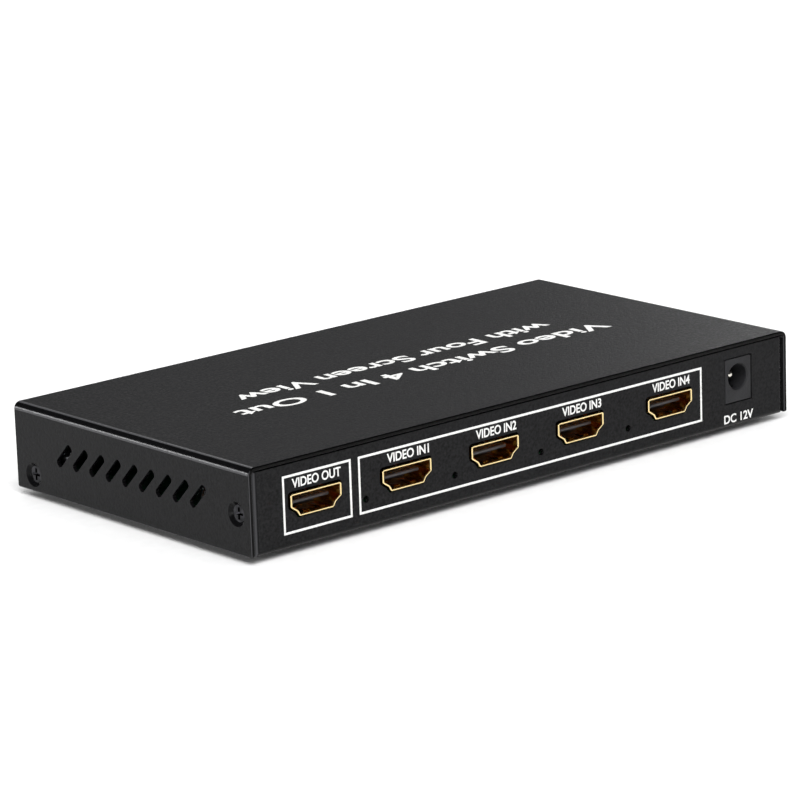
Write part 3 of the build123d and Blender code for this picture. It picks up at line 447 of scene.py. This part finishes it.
def capacitor_can(split_height):
    """Bare aluminium can above a moulded black base, split at a height."""
    material, tree, where = start_material("capacitor_can")
    height = add_node(tree, "ShaderNodeSeparateXYZ", {"Vector": where}).outputs["Z"]
    is_can = add_node(tree, "ShaderNodeMath", {0: height, 1: split_height}, operation="GREATER_THAN")
    grain = add_node(tree, "ShaderNodeTexNoise", {"Vector": where, "Scale": per_mm(0.3)})
    shade = add_node(tree, "ShaderNodeMapRange", {"Value": grain, **NOISE_RANGE})
    base = add_node(tree, "ShaderNodeMix", {
        MIX: shade, COLOUR_A: "121213", COLOUR_B: "1c1c1d"}, data_type="RGBA")
    can = add_node(tree, "ShaderNodeMix", {
        MIX: shade, COLOUR_A: "b4b6b9", COLOUR_B: "d2d4d6"}, data_type="RGBA")
    colour = add_node(tree, "ShaderNodeMix", {
        MIX: is_can, COLOUR_A: base, COLOUR_B: can}, data_type="RGBA")
    dullness = add_node(tree, "ShaderNodeMapRange", {"Value": is_can, "To Min": 0.5, "To Max": 0.3})
    bump = add_node(tree, "ShaderNodeBump", {"Height": grain, "Distance": 0.004 * MM})
    shader = add_node(tree, "ShaderNodeBsdfPrincipled", {
        "Base Color": colour, "Metallic": is_can, "Roughness": dullness, "Normal": bump})
    add_node(tree, "ShaderNodeOutputMaterial", {"Surface": shader})
    return material


# %% [markdown]
# ## Which finish goes on which piece
#
# The record that came with the CAD model names a material slot for every node. Painting by
# slot, rather than piece by piece, means that a socket added later is finished without a new
# line here.

# %% Finish every CAD node
board_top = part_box("main_board")[1].z
CAPACITOR_BASE = 0.95 * MM

finishes = {
    "powder_coated_steel": powder_coated_steel(),
    "gold_plated_steel": gold_shell(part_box("video_out_shell")[0].y),
    "gold_plated_contacts": metal("gold_plated_bronze", "c9953c", "f0c878", (0.18, 0.32), 0.2, ALONG_Y),
    "nickel_plated_brass": metal("nickel_plated_brass", "c9c4b8", "ece8de", (0.12, 0.25), 0.3, ALONG_Y),
    "black_screw_steel": metal(
        "black_oxide_steel", "1b1b1d", "38383b", (0.08, 0.2), 0.3, EVENLY, 0.004),
    "zinc_plated_steel": metal("zinc_plated_steel", "a9aeb4", "d0d4d8", (0.25, 0.4), 0.4, EVENLY),
    "plated_standoff_steel": metal(
        "nickel_plated_steel", "b9b4aa", "d8d4cc", (0.22, 0.36), 0.4, EVENLY),
    "crystal_can_steel": metal("drawn_nickel_silver", "bcbab4", "dddbd6", (0.2, 0.34), 0.4, ALONG_X),
    "anodised_aluminium": metal(
        "anodised_aluminium", "9da1a6", "c4c8cc", (0.35, 0.5), 0.3, ALONG_Y, 0.004),
    "socket_polymer": moulded("glass_filled_polymer", "3d3d40", "4c4c50", (0.35, 0.5), 0.25, 0.006),
    "jack_nylon": moulded("matt_black_nylon", "1c1c1e", "262628", (0.5, 0.68), 0.35, 0.012, 0.3),
    "switch_nylon": moulded("black_nylon", "1b1b1c", "262627", (0.45, 0.6), 0.3, 0.008),
    "plunger_acetal": moulded("white_acetal", "cfccc2", "e2dfd6", (0.3, 0.42), 0.3, 0.003),
    "button_abs": moulded("satin_black_abs", "242426", "2f2f31", (0.3, 0.42), 0.4, 0.004),
    "chip_epoxy": moulded("moulded_epoxy", "17171a", "232326", (0.55, 0.75), 0.2, 0.01),
    "ferrite": moulded("grey_ferrite", "3a3b3e", "4a4b4e", (0.5, 0.7), 0.3, 0.015),
    "foot_rubber": moulded("black_rubber", "141414", "202020", (0.7, 0.85), 0.4, 0.02, 0.3),
    "thermal_silicone": moulded("thermal_silicone", "7f8c99", "96a2ae", (0.6, 0.8), 0.5, 0.02, 0.3),
    "board_laminate": board_laminate(),
    "dark_window": clear_tinted("infrared_acrylic", ("1c0508", "2a080d"), (0.05, 0.1), 0.35),
    "infrared_epoxy": clear_tinted("dark_tinted_epoxy", ("140c12", "21131c"), (0.1, 0.2), 0.2),
    "green_led_epoxy": clear_tinted("green_diffused_epoxy", ("4f9e62", "6dbb80"), (0.2, 0.32), 0.45),
    "led_package": moulded("white_led_housing", "d8d8cc", "ecece2", (0.3, 0.45), 0.3, 0.003),
    "capacitor_aluminium": capacitor_can(board_top + CAPACITOR_BASE),
}


def finish_cad_nodes():
    """Gives every CAD node the finish of its slot and returns how many of each there are."""
    count = {}
    for part in frame["record"]["subparts"]:
        slot_name = part["material_slot"]
        nodes[part["node"]].material_slots[0].material = finishes[slot_name]
        count[slot_name] = count.get(slot_name, 0) + 1
    return count


print("finished slots:", finish_cad_nodes())

# %% [markdown]
# ## Printed ink
#
# The white frames and words are screen-printed: ink pushed through a mesh stands about three
# hundredths of a millimetre proud, with a soft edge. They could be painted in the shader, but
# ink made as thin geometry keeps its edge at any distance and survives every export. The
# coat's grain telegraphs through the ink, so the ink carries a weaker copy of it.

# %% White ink
INK_THICKNESS = 0.025 * MM
INK_LIFT = 0.004 * MM


def white_ink():
    """Screen-printed white ink, satin, with the coat's grain showing through it."""
    material, tree, where = start_material("white_screen_ink")
    grain = add_node(tree, "ShaderNodeTexNoise", {"Vector": where, "Scale": per_mm(COAT_GRAIN_MM)})
    shade = add_node(tree, "ShaderNodeMapRange", {"Value": grain, **NOISE_RANGE})
    colour = add_node(tree, "ShaderNodeMix", {
        MIX: shade, COLOUR_A: "dcdcda", COLOUR_B: "f6f6f4"}, data_type="RGBA")
    dullness = add_node(tree, "ShaderNodeMapRange", {
        "Value": grain, **NOISE_RANGE, "To Min": 0.45, "To Max": 0.6})
    bump = add_node(tree, "ShaderNodeBump", {"Height": grain, "Distance": 0.012 * MM})
    shader = add_node(tree, "ShaderNodeBsdfPrincipled", {
        "Base Color": colour, "Roughness": dullness, "IOR": 1.5, "Normal": bump})
    add_node(tree, "ShaderNodeOutputMaterial", {"Surface": shader})
    return material


ink = white_ink()

# %% [markdown]
# ## Three printed faces
#
# Each printed face is a small frame of reference: which way a word runs, which way is up for
# its reader, and which way the ink stands out. The lid's words are read by someone at the
# control panel, so on the lid they run towards -X.

# %% Printed faces and how to print on them
chassis_low, chassis_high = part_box("base_chassis")
PORT_PANEL = (Vector((1, 0, 0)), Vector((0, 0, 1)), Vector((0, chassis_low.y, 0)))
CONTROL_PANEL = (Vector((-1, 0, 0)), Vector((0, 0, 1)), Vector((0, chassis_high.y, 0)))
LID = (Vector((-1, 0, 0)), Vector((0, -1, 0)), Vector((0, 0, cover_high.z)))


def face_matrix(face, x, height):
    """Where a print's own corner goes: x along the face's reading direction, height up it."""
    right, up, origin = face
    outward = right.cross(up)
    turn = Matrix((right, up, outward)).transposed().to_4x4()
    place = origin + right * x + up * height + outward * INK_LIFT
    return Matrix.Translation(place) @ turn


def finish_piece(mesh, name, body, material=None):
    """Makes an object from a finished mesh, at the origin, riding a body."""
    piece = bpy.data.objects.new(name, mesh)
    bpy.context.scene.collection.objects.link(piece)
    if material:
        mesh.materials.clear()
        mesh.materials.append(material)
    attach(piece, body)
    return piece


def printed_word(name, words, face, x, baseline, width, cap_height, weight=0.02):
    """Words fitted to a width and a letter height, with x at their middle."""
    curve = bpy.data.curves.new(name + "_curve", "FONT")
    curve.body = words
    curve.offset = weight
    curve.resolution_u = 6
    holder = bpy.data.objects.new(name + "_curve", curve)
    bpy.context.scene.collection.objects.link(holder)
    bpy.context.view_layer.update()
    flat = bpy.data.meshes.new_from_object(holder.evaluated_get(bpy.context.evaluated_depsgraph_get()))
    bpy.data.objects.remove(holder)
    shape = bmesh.new()
    shape.from_mesh(flat)
    bmesh.ops.remove_doubles(shape, verts=shape.verts, dist=1e-5)
    left = min(v.co.x for v in shape.verts)
    right = max(v.co.x for v in shape.verts)
    bottom = min(v.co.y for v in shape.verts)
    top = max(v.co.y for v in shape.verts)
    for v in shape.verts:
        across = (v.co.x - left) / (right - left) - 0.5
        v.co = Vector((across * width, (v.co.y - bottom) / (top - bottom) * cap_height, 0))
    raised = bmesh.ops.extrude_face_region(shape, geom=shape.faces[:])
    for v in raised["geom"]:
        if isinstance(v, bmesh.types.BMVert):
            v.co.z += INK_THICKNESS
    bmesh.ops.recalc_face_normals(shape, faces=shape.faces)
    for side in shape.faces:
        side.smooth = False
    shape.transform(face_matrix(face, x, baseline))
    shape.to_mesh(flat)
    shape.free()
    return finish_piece(flat, name, "housing", ink)


def printed_frame(name, face, x0, x1, z0, z1, line):
    """A printed rectangle: a closed ring of ink with square corners."""
    shape = bmesh.new()
    rings = []
    for inset, height in ((0, 0), (0, INK_THICKNESS), (line, INK_THICKNESS), (line, 0)):
        left, right, bottom, top = x0 + inset, x1 - inset, z0 + inset, z1 - inset
        corners = ((left, bottom), (right, bottom), (right, top), (left, top))
        rings.append([shape.verts.new((x, z, height)) for x, z in corners])
    for here, there in zip(rings, rings[1:] + rings[:1]):
        for i in range(4):
            shape.faces.new((here[i], here[i - 1], there[i - 1], there[i]))
    bmesh.ops.recalc_face_normals(shape, faces=shape.faces)
    shape.transform(face_matrix(face, 0, 0))
    mesh = bpy.data.meshes.new(name)
    shape.to_mesh(mesh)
    shape.free()
    return finish_piece(mesh, name, "housing", ink)


# %% [markdown]
# ## The port panel's frames and labels
#
# Every print takes its place from the socket it belongs to, so it would follow if the socket
# were moved. One frame goes round the output and one round the four inputs. A frame's left
# margin is wider where it has to take in a pinhole.

# %% Print the port panel
FRAME_LINE = 0.55 * MM
FRAME_BELOW = 3.75 * MM
FRAME_ABOVE = 4.5 * MM
MOUTH_HEIGHT = 5.6 * MM
LABEL_HEIGHT = 2.25 * MM
LABEL_ABOVE = 1.15 * MM
POWER_LABEL_BELOW = 5.15 * MM
POWER_LABEL_WIDTH = 10.3 * MM
INPUTS = [f"video_in_{i}" for i in (1, 2, 3, 4)]

# First socket, last socket, left margin and right margin in mm
FRAMES = {
    "output_frame": ("video_out", "video_out", 1.95, 3.35),
    "input_frame": (INPUTS[0], INPUTS[-1], 6.9, 3.85),
}

# Words, width and shift from the socket's middle in mm
PORT_LABELS = {"video_out": ("VIDEO OUT", 14.5, 0.6)}
PORT_LABELS.update({name: (f"VIDEO IN{i}", 12.9, 0.8) for i, name in enumerate(INPUTS, start=1)})


def socket_span(name):
    """Left, right, bottom and top of a socket's mouth; its legs hang lower than the mouth."""
    low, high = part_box(name + "_shell")
    return low.x, high.x, high.z - MOUTH_HEIGHT, high.z


for name, (first, last, left_margin, right_margin) in FRAMES.items():
    left = socket_span(first)[0] - left_margin * MM
    right = socket_span(last)[1] + right_margin * MM
    bottom, top = socket_span(first)[2:]
    printed_frame(name, PORT_PANEL, left, right, bottom - FRAME_BELOW, top + FRAME_ABOVE, FRAME_LINE)

for name, (words, width, shift) in PORT_LABELS.items():
    left, right, bottom, top = socket_span(name)
    middle = (left + right) / 2 + shift * MM
    printed_word(
        name + "_label", words, PORT_PANEL, middle, top + LABEL_ABOVE, width * MM, LABEL_HEIGHT)

jack_low, jack_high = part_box("power_jack_body")
jack_middle = (jack_low.x + jack_high.x) / 2
printed_word(
    "power_label", "DC 12V", PORT_PANEL, jack_middle, jack_low.z - POWER_LABEL_BELOW,
    POWER_LABEL_WIDTH, LABEL_HEIGHT)
print("printed on the port panel:", len(FRAMES), "frames and", len(PORT_LABELS) + 1, "labels")

# %% [markdown]
# ## The lid and the control panel
#
# The lid has two lines of large letters, and each control has its name under it. The words of
# one row share a baseline, which is taken from the buttons.

# %% Print the lid and the control panel
LID_LETTER = 6.0 * MM
BASELINE_ABOVE_BUTTONS = -2.6 * MM

# Name, words, middle, baseline and width in mm
LID_LINES = [
    ("lid_line_1", "Video Switch 4 In 1 Out", -1.7, 3.2, 119),
    ("lid_line_2", "with Four Screen View", -1.5, -8.0, 101),
]

# Words and width in mm
CONTROL_LABELS = {
    "power_led": ("POWER", 9.0), "infrared_window": ("IR", 2.6),
    "select_button": ("SELECT", 9.6), "mode_button": ("MODE", 7.2),
}

for name, words, middle, baseline, width in LID_LINES:
    printed_word(name, words, LID, middle * MM, baseline * MM, width * MM, LID_LETTER)

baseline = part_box("select_button")[0].z + BASELINE_ABOVE_BUTTONS
for name, (words, width) in CONTROL_LABELS.items():
    low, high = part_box(name)
    middle = -(low.x + high.x) / 2
    printed_word(name + "_label", words, CONTROL_PANEL, middle, baseline, width * MM, LABEL_HEIGHT)
print("printed on the lid:", len(LID_LINES), "lines; on the control panel:", len(CONTROL_LABELS))

# %% [markdown]
# ## Growing what repeats
#
# Chip leads, solder joints and the small parts of a circuit board repeat by the hundred. Each
# kind gets one Geometry Nodes tree with named inputs, so a new chip is one more call. Every
# tree sets its own materials and ends in Realize Instances, and its result is turned into a
# plain mesh.

# %% Geometry Nodes helpers
def start_tree(name, inputs):
    """A new tree with a geometry input, a geometry output and the named inputs, and its ends."""
    tree = bpy.data.node_groups.new(name, "GeometryNodeTree")
    tree.interface.new_socket("Geometry", in_out="INPUT", socket_type="NodeSocketGeometry")
    for label, kind in inputs.items():
        tree.interface.new_socket(label, in_out="INPUT", socket_type="NodeSocket" + kind)
    tree.interface.new_socket("Geometry", in_out="OUTPUT", socket_type="NodeSocketGeometry")
    return tree, add_node(tree, "NodeGroupInput").outputs


def end_tree(tree, geometry):
    """Realizes instances and hands the geometry out."""
    real = add_node(tree, "GeometryNodeRealizeInstances", {"Geometry": geometry})
    add_node(tree, "NodeGroupOutput", {"Geometry": real})
    return tree


def grow(name, tree, values, body, points=()):
    """Runs a tree on a set of points and returns its result as a plain mesh that rides a body."""
    mesh = bpy.data.meshes.new(name + "_points")
    mesh.from_pydata([tuple(p) for p in points], [], [])
    maker = bpy.data.objects.new(name + "_maker", mesh)
    bpy.context.scene.collection.objects.link(maker)
    modifier = maker.modifiers.new("grow", "NODES")
    modifier.node_group = tree
    for item in tree.interface.items_tree:
        if item.in_out == "INPUT" and item.name in values:
            modifier[item.identifier] = values[item.name]
    bpy.context.view_layer.update()
    grown = bpy.data.meshes.new_from_object(maker.evaluated_get(bpy.context.evaluated_depsgraph_get()))
    bpy.data.objects.remove(maker)
    grown.name = name
    return finish_piece(grown, name, body)


# %% [markdown]
# ## Chip leads
#
# A chip's leads are stamped from tinned copper and bent like a gull's wing: out of the body,
# down, and out again along the board. One lead is a rectangle swept along a curve; a row of
# them is instanced along a line, and the row is instanced again, once for each side.

# %% Gull-wing leads
LEAD_SHOULDER = 0.45 * MM
LEAD_HEEL = 0.15 * MM
LEAD_TOE = 0.95 * MM


def gull_wing_tree():
    """Leads along two or four sides of a chip."""
    tree, given = start_tree("gull_wing_leads", {
        "Place": "Vector", "Half Width": "Float", "Height": "Float", "Count": "Int", "Pitch": "Float",
        "Sides": "Int", "Lead Width": "Float", "Lead Thickness": "Float", "Material": "Material"})
    half_thick = add_node(tree, "ShaderNodeMath", {
        0: given["Lead Thickness"], 1: 2.0}, operation="DIVIDE")
    top = add_node(tree, "ShaderNodeCombineXYZ", {"Z": given["Height"]})
    shoulder = add_node(tree, "ShaderNodeCombineXYZ", {"Y": LEAD_SHOULDER, "Z": given["Height"]})
    heel = add_node(tree, "ShaderNodeCombineXYZ", {"Y": LEAD_HEEL, "Z": half_thick})
    toe = add_node(tree, "ShaderNodeCombineXYZ", {"Y": LEAD_TOE, "Z": half_thick})
    bend = add_node(tree, "GeometryNodeCurvePrimitiveBezierSegment", {
        "Resolution": 7, "Start": top, "Start Handle": shoulder, "End Handle": heel, "End": toe})
    section = add_node(tree, "GeometryNodeCurvePrimitiveQuadrilateral", {
        "Width": given["Lead Width"], "Height": given["Lead Thickness"]})
    lead = add_node(tree, "GeometryNodeCurveToMesh", {
        "Curve": bend, "Profile Curve": section, "Fill Caps": True})
    gaps = add_node(tree, "ShaderNodeMath", {0: given["Count"], 1: 1.0}, operation="SUBTRACT")
    length = add_node(tree, "ShaderNodeMath", {0: gaps, 1: given["Pitch"]}, operation="MULTIPLY")
    start_x = add_node(tree, "ShaderNodeMath", {0: length, 1: -0.5}, operation="MULTIPLY")
    start = add_node(tree, "ShaderNodeCombineXYZ", {"X": start_x, "Y": given["Half Width"]})
    step = add_node(tree, "ShaderNodeCombineXYZ", {"X": given["Pitch"]})
    line = add_node(tree, "GeometryNodeMeshLine", {
        "Count": given["Count"], "Start Location": start, "Offset": step})
    row = add_node(tree, "GeometryNodeInstanceOnPoints", {"Points": line, "Instance": lead})
    hub = add_node(tree, "GeometryNodeMeshLine", {"Count": given["Sides"], "Offset": (0, 0, 0)})
    index = add_node(tree, "GeometryNodeInputIndex")
    share = add_node(tree, "ShaderNodeMath", {0: 2 * pi, 1: given["Sides"]}, operation="DIVIDE")
    angle = add_node(tree, "ShaderNodeMath", {0: index, 1: share}, operation="MULTIPLY")
    turn = add_node(tree, "ShaderNodeCombineXYZ", {"Z": angle})
    sides = add_node(tree, "GeometryNodeInstanceOnPoints", {
        "Points": hub, "Instance": row, "Rotation": turn})
    placed = add_node(tree, "GeometryNodeTransform", {
        "Geometry": sides, "Translation": given["Place"]})
    coated = add_node(tree, "GeometryNodeSetMaterial", {
        "Geometry": placed, "Material": given["Material"]})
    return end_tree(tree, coated)


tinned = metal("tinned_copper", "a8aaac", "cfd1d3", (0.3, 0.45), 0.2, EVENLY)
gull_wing = gull_wing_tree()

# Chip, leads on a side, sides, pitch in mm
CHIPS = [(f"video_receiver_{i}", 16, 4, 0.5) for i in (1, 2, 3, 4)]
CHIPS += [("video_transmitter", 16, 4, 0.5), ("controller_chip", 12, 4, 0.65)]
CHIPS += [("memory_chip_1", 18, 2, 0.45), ("memory_chip_2", 18, 2, 0.45), ("flash_chip", 4, 2, 1.0)]
LEAD_INSIDE_CHIP = 0.05 * MM
LEAD_THICKNESS = 0.13 * MM
LEAD_SHARE_OF_PITCH = 0.45


def chip_leads():
    """Grows the leads of every chip that has them and returns how many there are."""
    total = 0
    for name, count, sides, pitch in CHIPS:
        low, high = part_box(name)
        values = {
            "Place": Vector(((low.x + high.x) / 2, (low.y + high.y) / 2, board_top)),
            "Half Width": (high.y - low.y) / 2 - LEAD_INSIDE_CHIP,
            "Height": (high.z - board_top) / 2, "Count": count, "Pitch": pitch * MM,
            "Sides": sides, "Lead Width": LEAD_SHARE_OF_PITCH * pitch * MM,
            "Lead Thickness": LEAD_THICKNESS, "Material": tinned}
        grow(name + "_leads", gull_wing, values, "housing")
        total += count * sides
    return total


print("leads grown:", chip_leads())

# %% [markdown]
# ## Resistors and capacitors
#
# Around every chip the board is peppered with parts a millimetre long: a ceramic body between
# two tinned ends. A grid of points with some removed by a seeded random number gives the loose
# order that a real layout has, and each point is turned by a quarter or not at all.

# %% Small surface-mounted parts
BODY_SIZE = (0.62 * MM, 0.5 * MM, 0.42 * MM)
END_SIZE = (0.2 * MM, 0.52 * MM, 0.44 * MM)
END_FROM_MIDDLE = 0.41 * MM
PART_MIDDLE_HEIGHT = 0.22 * MM

# A Random Value node has sockets of every type, so its sockets are picked by number
LEAST, MOST, WHOLE_NUMBER, YES_OR_NO = 4, 5, 2, 3


def small_parts_tree():
    """Grid of small parts, thinned at random."""
    tree, given = start_tree("small_parts", {
        "Place": "Vector", "Width": "Float", "Depth": "Float", "Columns": "Int", "Rows": "Int",
        "Keep": "Float", "Seed": "Int", "Body Material": "Material", "End Material": "Material"})
    grid = add_node(tree, "GeometryNodeMeshGrid", {
        "Size X": given["Width"], "Size Y": given["Depth"], "Vertices X": given["Columns"],
        "Vertices Y": given["Rows"]})
    keep = add_node(tree, "FunctionNodeRandomValue", {
        "Probability": given["Keep"], "Seed": given["Seed"]}, data_type="BOOLEAN")
    block = add_node(tree, "GeometryNodeMeshCube", {"Size": BODY_SIZE})
    body = add_node(tree, "GeometryNodeSetMaterial", {
        "Geometry": block, "Material": given["Body Material"]})
    cap = add_node(tree, "GeometryNodeMeshCube", {"Size": END_SIZE})
    end = add_node(tree, "GeometryNodeSetMaterial", {
        "Geometry": cap, "Material": given["End Material"]})
    ends = [add_node(tree, "GeometryNodeTransform", {
        "Geometry": end, "Translation": (side * END_FROM_MIDDLE, 0, 0)}) for side in (-1, 1)]
    joined = add_node(tree, "GeometryNodeJoinGeometry", {"Geometry": [body, *ends]})
    part = add_node(tree, "GeometryNodeTransform", {
        "Geometry": joined, "Translation": (0, 0, PART_MIDDLE_HEIGHT)})
    quarter = add_node(tree, "FunctionNodeRandomValue", {
        LEAST: 0, MOST: 1, "Seed": given["Seed"]}, data_type="INT")
    angle = add_node(tree, "ShaderNodeMath", {
        0: quarter.outputs[WHOLE_NUMBER], 1: pi / 2}, operation="MULTIPLY")
    turn = add_node(tree, "ShaderNodeCombineXYZ", {"Z": angle})
    spread = add_node(tree, "GeometryNodeInstanceOnPoints", {
        "Points": grid, "Selection": keep.outputs[YES_OR_NO], "Instance": part,
        "Rotation": turn})
    placed = add_node(tree, "GeometryNodeTransform", {
        "Geometry": spread, "Translation": given["Place"]})
    return end_tree(tree, placed)


ceramic = moulded("brown_ceramic", "6a5138", "836749", (0.4, 0.55), 0.2, 0.004)
small_parts = small_parts_tree()

# Field, the chip it stands beside, its shift from that chip and its size in mm, columns, rows
FIELDS = [
    (f"input_{i}_passives", f"video_receiver_{i}", (0, 10.5), (14, 4), 9, 3) for i in (1, 2, 3, 4)]
FIELDS += [
    ("output_passives", "video_transmitter", (0, 10.5), (14, 4), 9, 3),
    ("memory_passives", "memory_chip_1", (-8, 12), (24, 4), 14, 3),
    ("processor_passives", "processor_chip", (0, 21), (30, 4), 17, 3),
    ("power_passives", "power_inductor", (-6, -10.5), (20, 4), 11, 3),
]
SHARE_KEPT = 0.7
FIRST_SEED = 3


def passives():
    """Grows one field of small parts beside each chip that needs them."""
    for seed, (name, chip, shift, size, columns, rows) in enumerate(FIELDS, start=FIRST_SEED):
        low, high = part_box(chip)
        x = (low.x + high.x) / 2 + shift[0] * MM
        y = (low.y + high.y) / 2 + shift[1] * MM
        values = {
            "Place": Vector((x, y, board_top)), "Width": size[0] * MM, "Depth": size[1] * MM,
            "Columns": columns, "Rows": rows, "Keep": SHARE_KEPT, "Seed": seed,
            "Body Material": ceramic, "End Material": tinned}
        grow(name, small_parts, values, "housing")


passives()
print("fields of small parts:", len(FIELDS))

# %% [markdown]
# ## Solder
#
# Where a leg passes through the board, solder wets it and sets as a little bright cone, one
# above the board and one below. A cone on each leg is enough, with its upper edge left sharp
# where it meets the metal.

# %% Solder joints
SOLDER_RADIUS = 0.95 * MM
SOLDER_TIP_RADIUS = 0.35 * MM
SOLDER_HEIGHT = 0.5 * MM
LEG_FROM_MOUTH = (3.6 * MM, 8.8 * MM)
LEG_THICKNESS = 0.45 * MM


def solder_tree():
    """A cone of solder on every point, above the board and mirrored below it."""
    tree, given = start_tree("solder_joints", {
        "Radius": "Float", "Height": "Float", "Board Thickness": "Float", "Material": "Material"})
    upper = add_node(tree, "GeometryNodeMeshCone", {
        "Vertices": 14, "Side Segments": 3, "Radius Top": SOLDER_TIP_RADIUS,
        "Radius Bottom": given["Radius"], "Depth": given["Height"]})
    drop = add_node(tree, "ShaderNodeMath", {
        0: given["Board Thickness"], 1: -1.0}, operation="MULTIPLY")
    down = add_node(tree, "ShaderNodeCombineXYZ", {"Z": drop})
    lower = add_node(tree, "GeometryNodeTransform", {
        "Geometry": upper, "Translation": down, "Rotation": (pi, 0, 0)})
    pair = add_node(tree, "GeometryNodeJoinGeometry", {"Geometry": [upper, lower]})
    joints = add_node(tree, "GeometryNodeInstanceOnPoints", {
        "Points": given["Geometry"], "Instance": pair})
    coated = add_node(tree, "GeometryNodeSetMaterial", {
        "Geometry": joints, "Material": given["Material"]})
    return end_tree(tree, coated)


def leg_points():
    """Top-of-board points where the socket shells' legs pass through."""
    for name in ["video_out", *INPUTS]:
        low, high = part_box(name + "_shell")
        for x in (low.x + LEG_THICKNESS / 2, high.x - LEG_THICKNESS / 2):
            for depth in LEG_FROM_MOUTH:
                yield Vector((x, low.y + depth, board_top))


solder = metal("solder", "b8babc", "e2e4e6", (0.15, 0.3), 0.5, EVENLY)
solder_values = {
    "Radius": SOLDER_RADIUS, "Height": SOLDER_HEIGHT,
    "Board Thickness": board_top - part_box("main_board")[0].z, "Material": solder}
legs = list(leg_points())
grow("shell_leg_solder", solder_tree(), solder_values, "housing", legs)
print("soldered legs:", len(legs))

# %% [markdown]
# ## Floor and light
#
# The floor is plain and pale. Two distant lights with wide angles light all of it evenly and
# give the soft contact shadow of a light tent, while a dim surround keeps the black coat
# black. Four small softboxes, all of them low, draw the bright lines along the folds and the
# gold rims, on top of highlights painted into the coat's and the gold's colour there.

# %% Floor
FLOOR_HALF_WIDTH = 6.0


def pale_floor():
    """A wide, plain, pale floor."""
    shape = bmesh.new()
    bmesh.ops.create_grid(shape, x_segments=8, y_segments=8, size=FLOOR_HALF_WIDTH)
    mesh = bpy.data.meshes.new("floor")
    shape.to_mesh(mesh)
    shape.free()
    material, tree, where = start_material("matt_white_card")
    fibre = add_node(tree, "ShaderNodeTexNoise", {"Vector": where, "Scale": per_mm(3.0)})
    shade = add_node(tree, "ShaderNodeMapRange", {"Value": fibre, **NOISE_RANGE})
    colour = add_node(tree, "ShaderNodeMix", {
        MIX: shade, COLOUR_A: "f4f4f4", COLOUR_B: "f8f8f8"}, data_type="RGBA")
    shader = add_node(tree, "ShaderNodeBsdfPrincipled", {
        "Base Color": colour, "Roughness": 0.9, "Specular IOR Level": 0.1})
    add_node(tree, "ShaderNodeOutputMaterial", {"Surface": shader})
    mesh.materials.append(material)
    floor = bpy.data.objects.new("floor", mesh)
    floor.location.z = cad_low.z
    bpy.context.scene.collection.objects.link(floor)
    return floor


print("floor at height", round(pale_floor().location.z, 4))

# %% Light
WALL_TOP = sin(radians(18))
CEILING_START = sin(radians(34))
WALL_COLOUR = "545456"
CEILING_COLOUR = "141415"


def hang_lamp(name, kind, towards, distance=0.0):
    """A light that shines on the origin from the direction in degrees round and degrees up."""
    way = direction(*(radians(angle) for angle in towards))
    lamp = bpy.data.objects.new(name, bpy.data.lights.new(name, kind))
    lamp.location = way * distance
    lamp.rotation_euler = way.to_track_quat("Z", "Y").to_euler()
    bpy.context.scene.collection.objects.link(lamp)
    return lamp


def softbox(name, towards, distance, size, power):
    """A square area light."""
    lamp = hang_lamp(name, "AREA", towards, distance)
    lamp.data.size = size
    lamp.data.energy = power


def sun(name, towards, strength, width):
    """A distant light, width degrees across; reflections leave it out."""
    lamp = hang_lamp(name, "SUN", towards)
    lamp.data.energy = strength
    lamp.data.angle = radians(width)
    lamp.visible_glossy = False


def studio_surround():
    """Dim grey wall all round that darkens upwards to a black ceiling."""
    world = bpy.data.worlds.new("surround")
    world.use_nodes = True
    tree = world.node_tree
    way = add_node(tree, "ShaderNodeTexCoord").outputs["Generated"]
    up = add_node(tree, "ShaderNodeSeparateXYZ", {0: way}).outputs["Z"]
    ceiling = add_node(tree, "ShaderNodeMapRange", {
        "Value": up, "From Min": WALL_TOP, "From Max": CEILING_START})
    colour = add_node(tree, "ShaderNodeMix", {
        MIX: ceiling, COLOUR_A: WALL_COLOUR, COLOUR_B: CEILING_COLOUR}, data_type="RGBA")
    tree.links.new(colour.outputs[MIXED], tree.nodes["Background"].inputs["Color"])
    bpy.context.scene.world = world


studio_surround()
sun("front_sun", (-35, 55), 2.6, 50)
sun("overhead_sun", (60, 75), 1.8, 120)
softbox("back_softbox", (146, 27), 1.6, 0.25, 0.7)
softbox("right_softbox", (118, 12), 1.5, 0.5, 7.5)
softbox("side_softbox", (-138, 10), 1.5, 0.3, 4.5)
softbox("front_softbox", (-46, 6), 1.4, 0.3, 4.0)
bpy.context.scene.view_settings.view_transform = "Standard"
print("lights:", len(bpy.data.lights))
